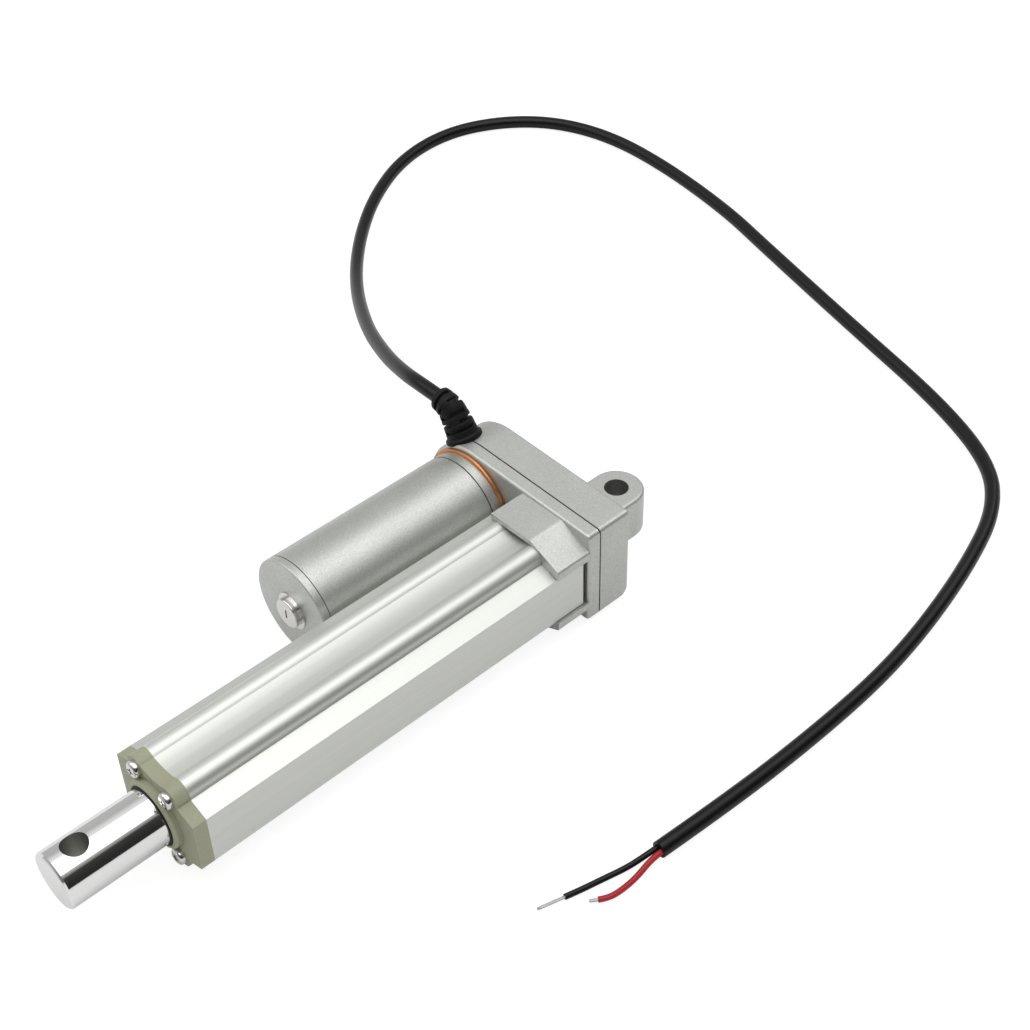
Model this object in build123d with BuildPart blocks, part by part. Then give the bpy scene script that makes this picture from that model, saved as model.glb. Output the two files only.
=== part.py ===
"""Electric linear actuator: a motor beside a push rod, joined by a small gearbox.

Millimetres. The origin is the centre of the rear mounting hole. X runs along the rod, the way
it extends, Z is up, along both mounting holes, and the motor lies on the -Y side.
The model is drawn with the rod fully in.
"""
import os
from math import acos, atan2, cos, hypot, pi, radians, sin, tan

from build123d import *

os.makedirs("parts", exist_ok=True)

# Driving sizes: travel and mounting
STROKE = 100.0
HOLE_TO_HOLE = 205.0
MOUNT_BORE_R = 4.0
ROD_R = 9.0
ROD_BORE_R = 7.0
ROD_TIP = 8.4
ROD_TIP_CHAMFER = 0.6
ROD_SOLID = 15.0
EYE_R = 9.0
EYE_HALF = 8.0

# Driving sizes: gearbox
BOX_REAR_X = 13.0
SEAM_X = 26.0
BOX_FRONT_X = 31.0
BOX_MOTOR_LIP = 2.0
BOX_SIDE_EXTRA = 0.5
BOX_CORNER_R = 1.6
BOX_WALL = 2.4
BOX_FLOOR = 2.0
BOX_REAR_ROUND = 6.0
BOX_EDGE_R = 1.0
EYE_EDGE_R = 1.2
GASKET_T = 0.5

# Driving sizes: tube, saddle and front cap
TUBE_HALF_W = 18.0
TUBE_SIDE_HALF = 8.9
RAIL_Y = 7.6
RAIL_Z = 12.0
RAIL_R = 4.0
NOTCH_Y = 11.5
NOTCH_Z = 11.3
VALLEY_Y = 4.9
VALLEY_SAG = 0.6
TUBE_BORE_R = 11.0
TUBE_REAR_GAP = 1.9
SADDLE_FRONT_X = 44.4
SADDLE_TOP_Z = 17.8
SADDLE_LEFT_Y = -11.0
SADDLE_BEND_Y = 6.5
SADDLE_OVERHANG = 1.0
SADDLE_LIP_Z = 12.2
SADDLE_LIP_LOW_Z = 9.3
SADDLE_BEND_R = 3.0
KEY_SLOT_HALF = 2.2
KEY_SLOT_Y = 14.5
CHAMBER_HALF = 4.5
CHAMBER_Y = 15.6
CAP_BACK_X = 175.0
CAP_T = 4.5
CAP_BOSS_WALL = 1.4
CAP_BOSS_H = 2.3
CAP_BOSS_CHAMFER = 0.8
WIPER_WALL = 0.8
WIPER_T = 2.6
WIPER_PROUD = 0.3

# Driving sizes: motor
MOTOR_R = 17.5
MOTOR_GAP = 0.5
MOTOR_WALL = 1.5
MOTOR_FLANGE_T = 3.2
MOTOR_GROOVE = 0.5
MOTOR_END_X = 105.0
MOTOR_CAP_T = 3.0
MOTOR_PLUG_R = 5.1
MOTOR_PLUG_H = 2.6
MOTOR_SHAFT_R = 1.6
SEAL_RING_PROUD = 1.1
SEAL_RING_SEAT = 3.0
SEAL_RING_T = 1.4

# Driving sizes: gears, screw and bearing
PINION_TEETH = 12
IDLER_TEETH = 32
IDLER_PINION_TEETH = 13
SCREW_GEAR_TEETH = 39
STAGE1_X = 15.8
STAGE1_T = 3.8
STAGE2_X = 20.6
STAGE2_T = 5.9
IDLER_AXLE_R = 2.0
AXLE_SEAT = 1.2
AXLE_BOSS_H = 1.6
SCREW_R = 5.0
SCREW_FRONT_X = 158.0
SCREW_JOURNAL_R = 4.0
SCREW_TAIL_R = 3.0
BEARING_R = 8.0
BEARING_T = 5.0
BALL_R = 1.19
BALLS = 9
NUT_REAR_X = 40.0
NUT_T = 14.0
NUT_SPIGOT = 7.0

# Driving sizes: cord
BOOT_ANGLE = 62.0
BOOT_X = 25.0
BOOT_FLANGE_R = 5.8
BOOT_INNER_R = 4.0
BOOT_R = 5.0
BOOT_STRAIGHT = 8.0
BOOT_BEND = 5.4
BOOT_TAIL = 4.0
BOOT_FLANGE_T = 1.8
BOOT_NECK_R = 3.3
BOOT_BODY_R = 4.1
BOOT_RIBS = 5
BOOT_RIB_T = 1.2
SHEATH_R = 2.6
WIRE_R = 0.9
STRANDS_R = 0.5

# Clearances
RUN_FIT = 0.05
SLIDE_FIT = 0.1
LOOSE = 0.3
BACKLASH = 0.12

# Screws: thread, head and through-hole sizes
M3_R = 1.5
M3_HEAD_R = 2.7
M3_HEAD_H = 2.0
M3_PASS_R = 1.7
RECESS_L = 2.6
RECESS_W = 0.55
CAP_SCREW_L = 14.0
BOX_SCREW_L = 13.0
TUBE_SCREW_L = 16.0
MOTOR_SCREW_L = 7.5
MOTOR_SCREW_OUT = 9.5

# Values worked out from the sizes above
MOTOR_OFFSET = TUBE_HALF_W + MOTOR_R + MOTOR_GAP
ALL_TEETH = PINION_TEETH + IDLER_TEETH + IDLER_PINION_TEETH + SCREW_GEAR_TEETH
GEAR_MODULE = 2 * MOTOR_OFFSET / ALL_TEETH
ADDENDUM = 0.9 * GEAR_MODULE
DEDENDUM = 1.25 * GEAR_MODULE
BOX_MOTOR_R = MOTOR_R + BOX_MOTOR_LIP
BOX_TUBE_HALF = GEAR_MODULE * SCREW_GEAR_TEETH / 2 + ADDENDUM + LOOSE + BOX_WALL
BOX_TUBE_Y = BOX_TUBE_HALF + BOX_SIDE_EXTRA
SADDLE_SIDE_Y = TUBE_HALF_W + SADDLE_OVERHANG
WIPER_R = ROD_R + WIPER_WALL
CAP_BOSS_R = WIPER_R + CAP_BOSS_WALL
SEAL_RING_R = MOTOR_R + SEAL_RING_PROUD
SURFACE_Z = -BOX_MOTOR_R
MOTOR_Y = -MOTOR_OFFSET
IDLER_Y = MOTOR_Y + GEAR_MODULE * (PINION_TEETH + IDLER_TEETH) / 2
SCREW_Y = IDLER_Y + GEAR_MODULE * (IDLER_PINION_TEETH + SCREW_GEAR_TEETH) / 2
TUBE_REAR_X = BOX_FRONT_X + TUBE_REAR_GAP
CAP_FRONT_X = CAP_BACK_X + CAP_T
CAP_NOSE_X = CAP_FRONT_X + CAP_BOSS_H
ROD_FRONT_X = HOLE_TO_HOLE + ROD_TIP
CAVITY_REAR_X = BOX_REAR_X + BOX_FLOOR
CAVITY_FRONT_X = BOX_FRONT_X - BOX_FLOOR
FLANGE_REAR_X = BOX_FRONT_X + SEAL_RING_T
CAN_REAR_X = FLANGE_REAR_X + MOTOR_FLANGE_T + MOTOR_GROOVE
CAN_FRONT_X = MOTOR_END_X - MOTOR_CAP_T
BEARING_REAR_X = 28.2
BEARING_FRONT_X = BEARING_REAR_X + BEARING_T
NUT_FRONT_X = NUT_REAR_X + NUT_T
SCREW_TAIL_END_X = STAGE2_X - 0.3


def ring_sketch(x, r_out, r_in=0.0, y=0.0, z=0.0):
    """A disc or ring across the X axis at x."""
    with BuildSketch(Plane.YZ.offset(x)) as section:
        with Locations((y, z)):
            Circle(r_out)
            if r_in > 0:
                Circle(r_in, mode=Mode.SUBTRACT)
    return section.sketch


def discs_sketch(x, radius, places):
    """Equal discs across the X axis at x."""
    with BuildSketch(Plane.YZ.offset(x)) as section:
        with Locations(*places):
            Circle(radius)
    return section.sketch


def box_touch_angle(inset):
    """The angle at which the tapered side leaves the round end of the gearbox."""
    corner_z = BOX_TUBE_HALF - inset
    span = BOX_TUBE_Y - inset - MOTOR_Y
    return atan2(corner_z, span) + acos((BOX_MOTOR_R - inset) / hypot(span, corner_z))


def box_outline(x, inset):
    """The gearbox outline: round about the motor, narrower and square beside the tube."""
    round_r = BOX_MOTOR_R - inset
    corner_y = BOX_TUBE_Y - inset
    corner_z = BOX_TUBE_HALF - inset
    touch_y = MOTOR_Y + round_r * cos(box_touch_angle(inset))
    touch_z = round_r * sin(box_touch_angle(inset))
    with BuildSketch(Plane.YZ.offset(x)) as section:
        with BuildLine():
            Polyline((touch_y, touch_z), (corner_y, corner_z), (corner_y, -corner_z),
                     (touch_y, -touch_z))
            ThreePointArc((touch_y, -touch_z), (MOTOR_Y - round_r, 0), (touch_y, touch_z))
        make_face()
        fillet(section.vertices().group_by(Axis.X)[-1], BOX_CORNER_R)
    return section.sketch


def tube_outline(x, grow=0.0):
    """The outline of the tube and its front cap: flat sides, two round rails, a shallow valley."""
    valley_z = RAIL_Z + (RAIL_R**2 - (RAIL_Y - VALLEY_Y)**2)**0.5
    with BuildSketch(Plane.YZ.offset(x)) as section:
        with BuildLine():
            Polyline((VALLEY_Y, valley_z), (RAIL_Y, RAIL_Z), (NOTCH_Y, NOTCH_Z),
                     (TUBE_HALF_W, TUBE_SIDE_HALF), (TUBE_HALF_W, 0), (-TUBE_HALF_W, 0),
                     (-TUBE_HALF_W, TUBE_SIDE_HALF), (-NOTCH_Y, NOTCH_Z), (-RAIL_Y, RAIL_Z),
                     (-VALLEY_Y, valley_z))
            ThreePointArc((-VALLEY_Y, valley_z), (0, valley_z - VALLEY_SAG),
                          (VALLEY_Y, valley_z))
        make_face()
        with Locations((RAIL_Y, RAIL_Z), (-RAIL_Y, RAIL_Z)):
            Circle(RAIL_R)
        mirror(about=Plane.XZ)
        if grow:
            offset(amount=grow)
    return section.sketch


def tooth_sketch(teeth, x):
    """One involute tooth that points along +Y, with its foot inside the root circle."""
    pitch_r = GEAR_MODULE * teeth / 2
    base_r = pitch_r * cos(radians(20))
    tip_r = pitch_r + ADDENDUM
    root_r = pitch_r - DEDENDUM
    foot_r = root_r - 0.3
    start_r = max(base_r, root_r)

    def half_angle(r):
        pressure = acos(min(1.0, base_r / r))
        flare = tan(radians(20)) - radians(20) - (tan(pressure) - pressure)
        return pi / (2 * teeth) - BACKLASH / (2 * pitch_r) + flare

    radii = [start_r + (tip_r - start_r) * i / 4 for i in range(5)]
    upper = [(r * cos(half_angle(r)), r * sin(half_angle(r))) for r in radii]
    lower = [(y, -z) for y, z in upper]
    foot = (foot_r * cos(half_angle(start_r)), foot_r * sin(half_angle(start_r)))
    with BuildSketch(Plane.YZ.offset(x)) as section:
        with BuildLine():
            Spline(*upper)
            ThreePointArc(upper[-1], (tip_r, 0), lower[-1])
            Spline(*lower)
            Polyline(lower[0], (foot[0], -foot[1]), foot, upper[0])
        make_face()
    return section.sketch


def gear_sketch(teeth, x, y, bore_r, turn=0.0):
    """A whole gear, turned by part of a tooth where it has to mesh."""
    tooth = tooth_sketch(teeth, 0.0)
    with BuildSketch(Plane.YZ.offset(x)) as section:
        with Locations((y, 0)):
            Circle(GEAR_MODULE * teeth / 2 - DEDENDUM)
            with PolarLocations(0, teeth, start_angle=turn):
                add(Plane.YZ.to_local_coords(tooth))
            Circle(bore_r, mode=Mode.SUBTRACT)
    return section.sketch


def cord_radii(points):
    """Each corner's arc: 0.45 of the shorter run beside it, over the tangent of half the turn."""
    places = [Vector(*point) for point in points]
    radii = []
    for before, here, after in zip(places, places[1:], places[2:]):
        half_turn = radians((here - before).get_angle(after - here)) / 2
        radii.append(0.45 * min((here - before).length, (after - here).length) / tan(half_turn))
    return radii


# Places of the screws
BOX_SCREWS = [(BOX_TUBE_Y - 4.3, BOX_TUBE_HALF - 4.8), (BOX_TUBE_Y - 4.3, 4.8 - BOX_TUBE_HALF),
              (MOTOR_Y, BOX_MOTOR_R - 5.2), (MOTOR_Y, 5.2 - BOX_MOTOR_R)]
BOX_HEAD_SEAT_X = BOX_REAR_X + 3.6
PORTS = [(RAIL_Y, RAIL_Z), (-RAIL_Y, RAIL_Z), (RAIL_Y, -RAIL_Z), (-RAIL_Y, -RAIL_Z)]
MOTOR_SCREWS = [(MOTOR_Y + MOTOR_SCREW_OUT, 0), (MOTOR_Y - MOTOR_SCREW_OUT, 0)]
BOSS_R = M3_HEAD_R + 0.6

# Cord path: out of the gearbox's round end, over its boot's bend, down to the surface and round
boot_dir = Vector(0, -cos(radians(BOOT_ANGLE)), sin(radians(BOOT_ANGLE)))
boot_wall = Vector(BOOT_X, MOTOR_Y, 0) + boot_dir * BOX_MOTOR_R
boot_inner = boot_wall - boot_dir * (BOX_WALL + BOOT_FLANGE_T)
boot_half_dir = Vector(0, -cos(radians(BOOT_ANGLE / 2)), sin(radians(BOOT_ANGLE / 2)))
boot_low_bend = boot_wall + boot_dir * BOOT_STRAIGHT
boot_high_bend = boot_low_bend + boot_half_dir * BOOT_BEND
boot_hole = Plane(origin=boot_inner, x_dir=(1, 0, 0), z_dir=boot_dir)
CORD_Z = SURFACE_Z + SHEATH_R
cord_points = [
    boot_inner, boot_low_bend, boot_high_bend,
    (24.4, -67.5, 26.6), (21.4, -78.5, 23.0), (12.9, -99.4, 14.5), (-3.3, -131.4, 2.0),
    (-29.5, -171.6, -12.0), (-55.2, -201.1, CORD_Z), (-80.6, -222.0, CORD_Z),
    (-109.1, -237.0, CORD_Z), (-137.4, -240.0, CORD_Z), (-161.2, -230.3, CORD_Z),
    (-178.6, -212.1, CORD_Z), (-186.9, -185.1, CORD_Z), (-185.3, -149.8, CORD_Z),
    (-177.8, -109.1, CORD_Z), (-168.4, -79.2, CORD_Z), (-150.6, -19.5, CORD_Z),
    (-136.4, 30.6, CORD_Z), (-121.2, 63.0, CORD_Z), (-102.5, 78.0, CORD_Z),
    (-76.2, 87.0, CORD_Z), (-44.6, 94.3, CORD_Z), (-15.2, 98.4, CORD_Z),
    (18.0, 99.3, CORD_Z), (52.0, 98.4, CORD_Z), (80.6, 96.2, CORD_Z),
]
cord_bends = cord_radii(cord_points)
boot_lead = (Vector(*cord_points[3]) - boot_high_bend).normalized()
boot_end = boot_high_bend + boot_lead * BOOT_TAIL
boot_points = (boot_low_bend, boot_high_bend, boot_end)

# Outer tube: an extrusion with the rod's bore, a key slot, the switch chamber and screw ports
with BuildPart() as outer_tube:
    extrude(tube_outline(TUBE_REAR_X), amount=CAP_BACK_X - TUBE_REAR_X)
    with BuildSketch(Plane.YZ.offset(TUBE_REAR_X)):
        Circle(TUBE_BORE_R)
        with Locations(((TUBE_BORE_R - 2 + CHAMBER_Y) / 2, 0)):
            Rectangle(CHAMBER_Y - TUBE_BORE_R + 2, 2 * CHAMBER_HALF)
        with Locations((-(TUBE_BORE_R - 2 + KEY_SLOT_Y) / 2, 0)):
            Rectangle(KEY_SLOT_Y - TUBE_BORE_R + 2, 2 * KEY_SLOT_HALF)
        with Locations(*PORTS):
            Circle(M3_R)
    extrude(amount=CAP_BACK_X - TUBE_REAR_X, mode=Mode.SUBTRACT)
outer_tube.part.label = "outer_tube"
export_step(outer_tube.part, "parts/outer_tube.step")

# Front cap: a plastic plate with the tube's outline and a raised collar about the rod
with BuildPart() as front_end_cap:
    extrude(tube_outline(CAP_BACK_X), amount=CAP_T)
    extrude(ring_sketch(CAP_FRONT_X, CAP_BOSS_R), amount=CAP_BOSS_H)
    chamfer(front_end_cap.edges().group_by(Axis.X)[-1], CAP_BOSS_CHAMFER)
    extrude(ring_sketch(CAP_BACK_X, ROD_R + LOOSE), amount=CAP_T + CAP_BOSS_H,
            mode=Mode.SUBTRACT)
    extrude(ring_sketch(CAP_NOSE_X - WIPER_T, WIPER_R), amount=WIPER_T, mode=Mode.SUBTRACT)
    extrude(discs_sketch(CAP_BACK_X, M3_PASS_R, PORTS), amount=CAP_T, mode=Mode.SUBTRACT)
front_end_cap.part.label = "front_end_cap"
export_step(front_end_cap.part, "parts/front_end_cap.step")

# Wiper seal: a rubber lip about the rod in the cap's collar
with BuildPart() as rod_wiper_seal:
    extrude(ring_sketch(CAP_NOSE_X - WIPER_T, WIPER_R, ROD_R + RUN_FIT),
            amount=WIPER_T + WIPER_PROUD)
    chamfer(rod_wiper_seal.edges().group_by(Axis.X)[-1].sort_by(SortBy.RADIUS)[-1], WIPER_PROUD)
rod_wiper_seal.part.label = "rod_wiper_seal"
export_step(rod_wiper_seal.part, "parts/rod_wiper_seal.step")

# Cap screws: pan heads with a cross recess, in the tube's ports
with BuildPart() as front_cap_screws:
    extrude(discs_sketch(CAP_FRONT_X, M3_HEAD_R, PORTS), amount=M3_HEAD_H)
    fillet(front_cap_screws.edges().filter_by(GeomType.CIRCLE).group_by(Axis.X)[-1], 1.2)
    extrude(discs_sketch(CAP_FRONT_X - CAP_SCREW_L, M3_R, PORTS), amount=CAP_SCREW_L)
    with BuildSketch(Plane.YZ.offset(CAP_FRONT_X + M3_HEAD_H)):
        with Locations(*PORTS):
            Rectangle(RECESS_L, RECESS_W)
            Rectangle(RECESS_W, RECESS_L)
    extrude(amount=-1.1, mode=Mode.SUBTRACT)
front_cap_screws.part.label = "front_cap_screws"
export_step(front_cap_screws.part, "parts/front_cap_screws.step")

# Guide bush: carries the rod in the front of the tube
BUSH_T = 14.0
with BuildPart() as rod_guide_bush:
    extrude(ring_sketch(CAP_BACK_X - BUSH_T, TUBE_BORE_R, ROD_R + RUN_FIT), amount=BUSH_T)
rod_guide_bush.part.label = "rod_guide_bush"
export_step(rod_guide_bush.part, "parts/rod_guide_bush.step")

# Push rod: a tube with a solid, cross-bored front
with BuildPart() as push_rod:
    extrude(ring_sketch(NUT_FRONT_X, ROD_R), amount=ROD_FRONT_X - NUT_FRONT_X)
    chamfer(push_rod.edges().group_by(Axis.X)[-1], ROD_TIP_CHAMFER)
    extrude(ring_sketch(NUT_FRONT_X, ROD_BORE_R),
            amount=HOLE_TO_HOLE - ROD_SOLID - NUT_FRONT_X, mode=Mode.SUBTRACT)
    with BuildSketch(Plane.XY.offset(-ROD_R - 1)):
        with Locations((HOLE_TO_HOLE, 0)):
            Circle(MOUNT_BORE_R)
    extrude(amount=2 * ROD_R + 2, mode=Mode.SUBTRACT)
    with BuildSketch(Plane.XZ.offset(-ROD_R - 1)):
        with Locations((NUT_FRONT_X + NUT_SPIGOT / 2, 0)):
            Circle(1.25)
    extrude(amount=2 * ROD_R + 2, mode=Mode.SUBTRACT)
push_rod.part.label = "push_rod"
export_step(push_rod.part, "parts/push_rod.step")

# Drive nut: a plastic nut on the screw, keyed to the tube, with a finger that trips the switches
TRIP_REAR_X = NUT_REAR_X + 2
TRIP_T = 6.0
TRIP_Y = 12.7
with BuildPart() as drive_nut:
    extrude(ring_sketch(NUT_REAR_X, TUBE_BORE_R - LOOSE), amount=NUT_T)
    extrude(ring_sketch(NUT_FRONT_X, ROD_BORE_R), amount=NUT_SPIGOT)
    with BuildSketch(Plane.YZ.offset(NUT_REAR_X)):
        with Locations((-(KEY_SLOT_Y - LOOSE + 9) / 2, 0)):
            Rectangle(KEY_SLOT_Y - LOOSE - 9, 2 * (KEY_SLOT_HALF - LOOSE))
    extrude(amount=NUT_T)
    with BuildSketch(Plane.YZ.offset(TRIP_REAR_X)):
        with Locations(((TRIP_Y + 9) / 2, 0)):
            Rectangle(TRIP_Y - 9, 3.6)
    extrude(amount=TRIP_T)
    extrude(ring_sketch(NUT_REAR_X, SCREW_R + RUN_FIT), amount=NUT_T + NUT_SPIGOT,
            mode=Mode.SUBTRACT)
    with BuildSketch(Plane.XZ.offset(-ROD_R - 1)):
        with Locations((NUT_FRONT_X + NUT_SPIGOT / 2, 0)):
            Circle(1.25)
    extrude(amount=2 * ROD_R + 2, mode=Mode.SUBTRACT)
drive_nut.part.label = "drive_nut"
export_step(drive_nut.part, "parts/drive_nut.step")

# Nut pins: two short pins that lock the nut in the rod
with BuildPart() as nut_pins:
    with BuildSketch(Plane.XZ.offset(SCREW_R + LOOSE)):
        with Locations((NUT_FRONT_X + NUT_SPIGOT / 2, 0)):
            Circle(1.25)
    extrude(amount=ROD_R - LOOSE - SCREW_R - LOOSE)
    mirror(about=Plane.XZ)
nut_pins.part.label = "nut_pins"
export_step(nut_pins.part, "parts/nut_pins.step")

# Lead screw: the threaded stem, the bearing journal, the gear seat and the tail
with BuildPart() as lead_screw:
    extrude(ring_sketch(BEARING_FRONT_X, SCREW_R), amount=SCREW_FRONT_X - BEARING_FRONT_X)
    chamfer(lead_screw.edges().group_by(Axis.X)[-1], 1.0)
    extrude(ring_sketch(SCREW_TAIL_END_X, SCREW_JOURNAL_R),
            amount=BEARING_FRONT_X - SCREW_TAIL_END_X)
    extrude(ring_sketch(CAVITY_REAR_X + LOOSE, SCREW_TAIL_R),
            amount=SCREW_TAIL_END_X - CAVITY_REAR_X - LOOSE)
    with BuildSketch(Plane.YZ.offset(STAGE2_X)):
        with Locations((0, SCREW_JOURNAL_R)):
            Rectangle(2.0, 2.0)
    extrude(amount=STAGE2_T, mode=Mode.SUBTRACT)
lead_screw.part.label = "lead_screw"
export_step(lead_screw.part, "parts/lead_screw.step")

# Screw gear: the large plastic gear, keyed to the screw
GEAR_DISH_T = 1.2
GEAR_DISH_OUT_R = 12.2
GEAR_DISH_IN_R = 7.0
with BuildPart() as screw_gear:
    extrude(gear_sketch(SCREW_GEAR_TEETH, STAGE2_X, SCREW_Y, SCREW_JOURNAL_R),
            amount=STAGE2_T)
    with BuildSketch(Plane.YZ.offset(STAGE2_X)):
        with Locations((0, SCREW_JOURNAL_R)):
            Rectangle(2.0, 2.0)
    extrude(amount=STAGE2_T, mode=Mode.SUBTRACT)
    for web_x in (STAGE2_X, STAGE2_X + STAGE2_T - GEAR_DISH_T):
        extrude(ring_sketch(web_x, GEAR_DISH_OUT_R, GEAR_DISH_IN_R), amount=GEAR_DISH_T,
                mode=Mode.SUBTRACT)
screw_gear.part.label = "screw_gear"
export_step(screw_gear.part, "parts/screw_gear.step")

# Gear key: the square key between the screw and its gear
with BuildPart() as screw_gear_key:
    with BuildSketch(Plane.YZ.offset(STAGE2_X)):
        with Locations((0, SCREW_JOURNAL_R)):
            Rectangle(2.0, 2.0)
    extrude(amount=STAGE2_T)
screw_gear_key.part.label = "screw_gear_key"
export_step(screw_gear_key.part, "parts/screw_gear_key.step")

# Spacer: holds the gear off the bearing
with BuildPart() as screw_spacer:
    extrude(ring_sketch(STAGE2_X + STAGE2_T, SCREW_JOURNAL_R + 1.0, SCREW_JOURNAL_R),
            amount=BEARING_REAR_X - STAGE2_X - STAGE2_T)
screw_spacer.part.label = "screw_spacer"
export_step(screw_spacer.part, "parts/screw_spacer.step")

# Ball bearing: takes the rod's push and pull
BALL_ORBIT = (SCREW_JOURNAL_R + BEARING_R) / 2
RING_STEP = 0.8
CAGE_HALF_T = 1.7
CAGE_HALF_W = 0.4
BEARING_MID_X = BEARING_REAR_X + BEARING_T / 2
with BuildPart() as bearing_inner_ring:
    extrude(ring_sketch(BEARING_REAR_X, BALL_ORBIT - RING_STEP, SCREW_JOURNAL_R), amount=BEARING_T)
    with BuildSketch(Plane.XY):
        with Locations((BEARING_MID_X, BALL_ORBIT)):
            Circle(BALL_R + SLIDE_FIT)
    revolve(axis=Axis.X, mode=Mode.SUBTRACT)
bearing_inner_ring.part.label = "bearing_inner_ring"
export_step(bearing_inner_ring.part, "parts/bearing_inner_ring.step")

with BuildPart() as bearing_outer_ring:
    extrude(ring_sketch(BEARING_REAR_X, BEARING_R, BALL_ORBIT + RING_STEP), amount=BEARING_T)
    with BuildSketch(Plane.XY):
        with Locations((BEARING_MID_X, BALL_ORBIT)):
            Circle(BALL_R + SLIDE_FIT)
    revolve(axis=Axis.X, mode=Mode.SUBTRACT)
bearing_outer_ring.part.label = "bearing_outer_ring"
export_step(bearing_outer_ring.part, "parts/bearing_outer_ring.step")

with BuildPart() as bearing_balls:
    for index in range(BALLS):
        angle = 2 * pi * index / BALLS
        with Locations((BEARING_MID_X, BALL_ORBIT * cos(angle), BALL_ORBIT * sin(angle))):
            Sphere(BALL_R)
bearing_balls.part.label = "bearing_balls"
export_step(bearing_balls.part, "parts/bearing_balls.step")

with BuildPart() as bearing_cage:
    extrude(ring_sketch(BEARING_MID_X - CAGE_HALF_T, BALL_ORBIT + CAGE_HALF_W,
                        BALL_ORBIT - CAGE_HALF_W), amount=2 * CAGE_HALF_T)
    for index in range(BALLS):
        angle = 2 * pi * index / BALLS
        with Locations((BEARING_MID_X, BALL_ORBIT * cos(angle), BALL_ORBIT * sin(angle))):
            Sphere(BALL_R + RUN_FIT, mode=Mode.SUBTRACT)
bearing_cage.part.label = "bearing_cage"
export_step(bearing_cage.part, "parts/bearing_cage.step")

# Rear bush: carries the screw's tail in the rear housing
REAR_BUSH_T = 4.2
with BuildPart() as screw_rear_bush:
    extrude(ring_sketch(CAVITY_REAR_X, SCREW_TAIL_R + 1.5, SCREW_TAIL_R + RUN_FIT),
            amount=REAR_BUSH_T)
screw_rear_bush.part.label = "screw_rear_bush"
export_step(screw_rear_bush.part, "parts/screw_rear_bush.step")

# Front housing: a shallow half shell with the bearing seat, a spigot in the tube and the saddle
SPIGOT_T = 5.0
with BuildPart() as front_gear_housing:
    extrude(box_outline(SEAM_X + GASKET_T / 2, 0), amount=BOX_FRONT_X - SEAM_X - GASKET_T / 2)
    fillet(front_gear_housing.edges().group_by(Axis.X)[-1], BOX_EDGE_R)
    extrude(box_outline(SEAM_X + GASKET_T / 2, BOX_WALL),
            amount=CAVITY_FRONT_X - SEAM_X - GASKET_T / 2, mode=Mode.SUBTRACT)
    extrude(discs_sketch(SEAM_X + GASKET_T / 2, BOSS_R, BOX_SCREWS),
            amount=CAVITY_FRONT_X - SEAM_X - GASKET_T / 2)
    extrude(ring_sketch(CAVITY_FRONT_X - AXLE_BOSS_H, IDLER_AXLE_R + 2, y=IDLER_Y),
            amount=AXLE_BOSS_H)
    extrude(ring_sketch(BEARING_REAR_X, BEARING_R + 1.6), amount=CAVITY_FRONT_X - BEARING_REAR_X)
    # The saddle is a roof over the tube's rails and one under it, cut to the tube's outline
    with BuildSketch(Plane.YZ.offset(BOX_FRONT_X)) as saddle:
        with BuildLine():
            Polyline((SADDLE_LEFT_Y, RAIL_Z), (SADDLE_LEFT_Y, SADDLE_TOP_Z),
                     (SADDLE_BEND_Y, SADDLE_TOP_Z), (SADDLE_SIDE_Y, SADDLE_LIP_Z),
                     (SADDLE_SIDE_Y, SADDLE_LIP_LOW_Z), (TUBE_HALF_W, SADDLE_LIP_LOW_Z),
                     (NOTCH_Y, NOTCH_Z), (SADDLE_LEFT_Y, RAIL_Z))
        make_face()
        fillet(saddle.vertices().group_by(Axis.Y)[-1].sort_by(Axis.X)[-1], SADDLE_BEND_R)
        fillet(saddle.vertices().group_by(Axis.X)[-1].sort_by(Axis.Y)[-1], BOX_EDGE_R)
        mirror(about=Plane.XZ)
    extrude(amount=SADDLE_FRONT_X - BOX_FRONT_X)
    extrude(tube_outline(BOX_FRONT_X, SLIDE_FIT), amount=SADDLE_FRONT_X - BOX_FRONT_X,
            mode=Mode.SUBTRACT)
    with BuildSketch(Plane.YZ.offset(BOX_FRONT_X)):
        Rectangle(2 * RAIL_Y, 2 * (RAIL_Z + RAIL_R + SLIDE_FIT))
    extrude(amount=SADDLE_FRONT_X - BOX_FRONT_X, mode=Mode.SUBTRACT)
    extrude(ring_sketch(BOX_FRONT_X, TUBE_BORE_R - SLIDE_FIT), amount=SPIGOT_T)
    # Holes
    extrude(ring_sketch(BEARING_REAR_X, BEARING_R), amount=BEARING_T, mode=Mode.SUBTRACT)
    extrude(ring_sketch(BEARING_FRONT_X, SCREW_R + 1.0), amount=20, mode=Mode.SUBTRACT)
    extrude(discs_sketch(SEAM_X, M3_R, BOX_SCREWS), amount=3.8, mode=Mode.SUBTRACT)
    extrude(discs_sketch(CAVITY_FRONT_X, M3_PASS_R, PORTS), amount=BOX_FLOOR, mode=Mode.SUBTRACT)
    extrude(discs_sketch(CAVITY_FRONT_X, M3_PASS_R, MOTOR_SCREWS), amount=BOX_FLOOR,
            mode=Mode.SUBTRACT)
    extrude(ring_sketch(CAVITY_FRONT_X, 6.2, y=MOTOR_Y), amount=BOX_FLOOR, mode=Mode.SUBTRACT)
    extrude(ring_sketch(CAVITY_FRONT_X - AXLE_BOSS_H, IDLER_AXLE_R, y=IDLER_Y),
            amount=AXLE_BOSS_H + AXLE_SEAT, mode=Mode.SUBTRACT)
    with BuildSketch(boot_hole):
        Circle(BOOT_NECK_R + SLIDE_FIT)
    extrude(amount=BOX_WALL + 2 * BOOT_FLANGE_T, mode=Mode.SUBTRACT)
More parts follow.
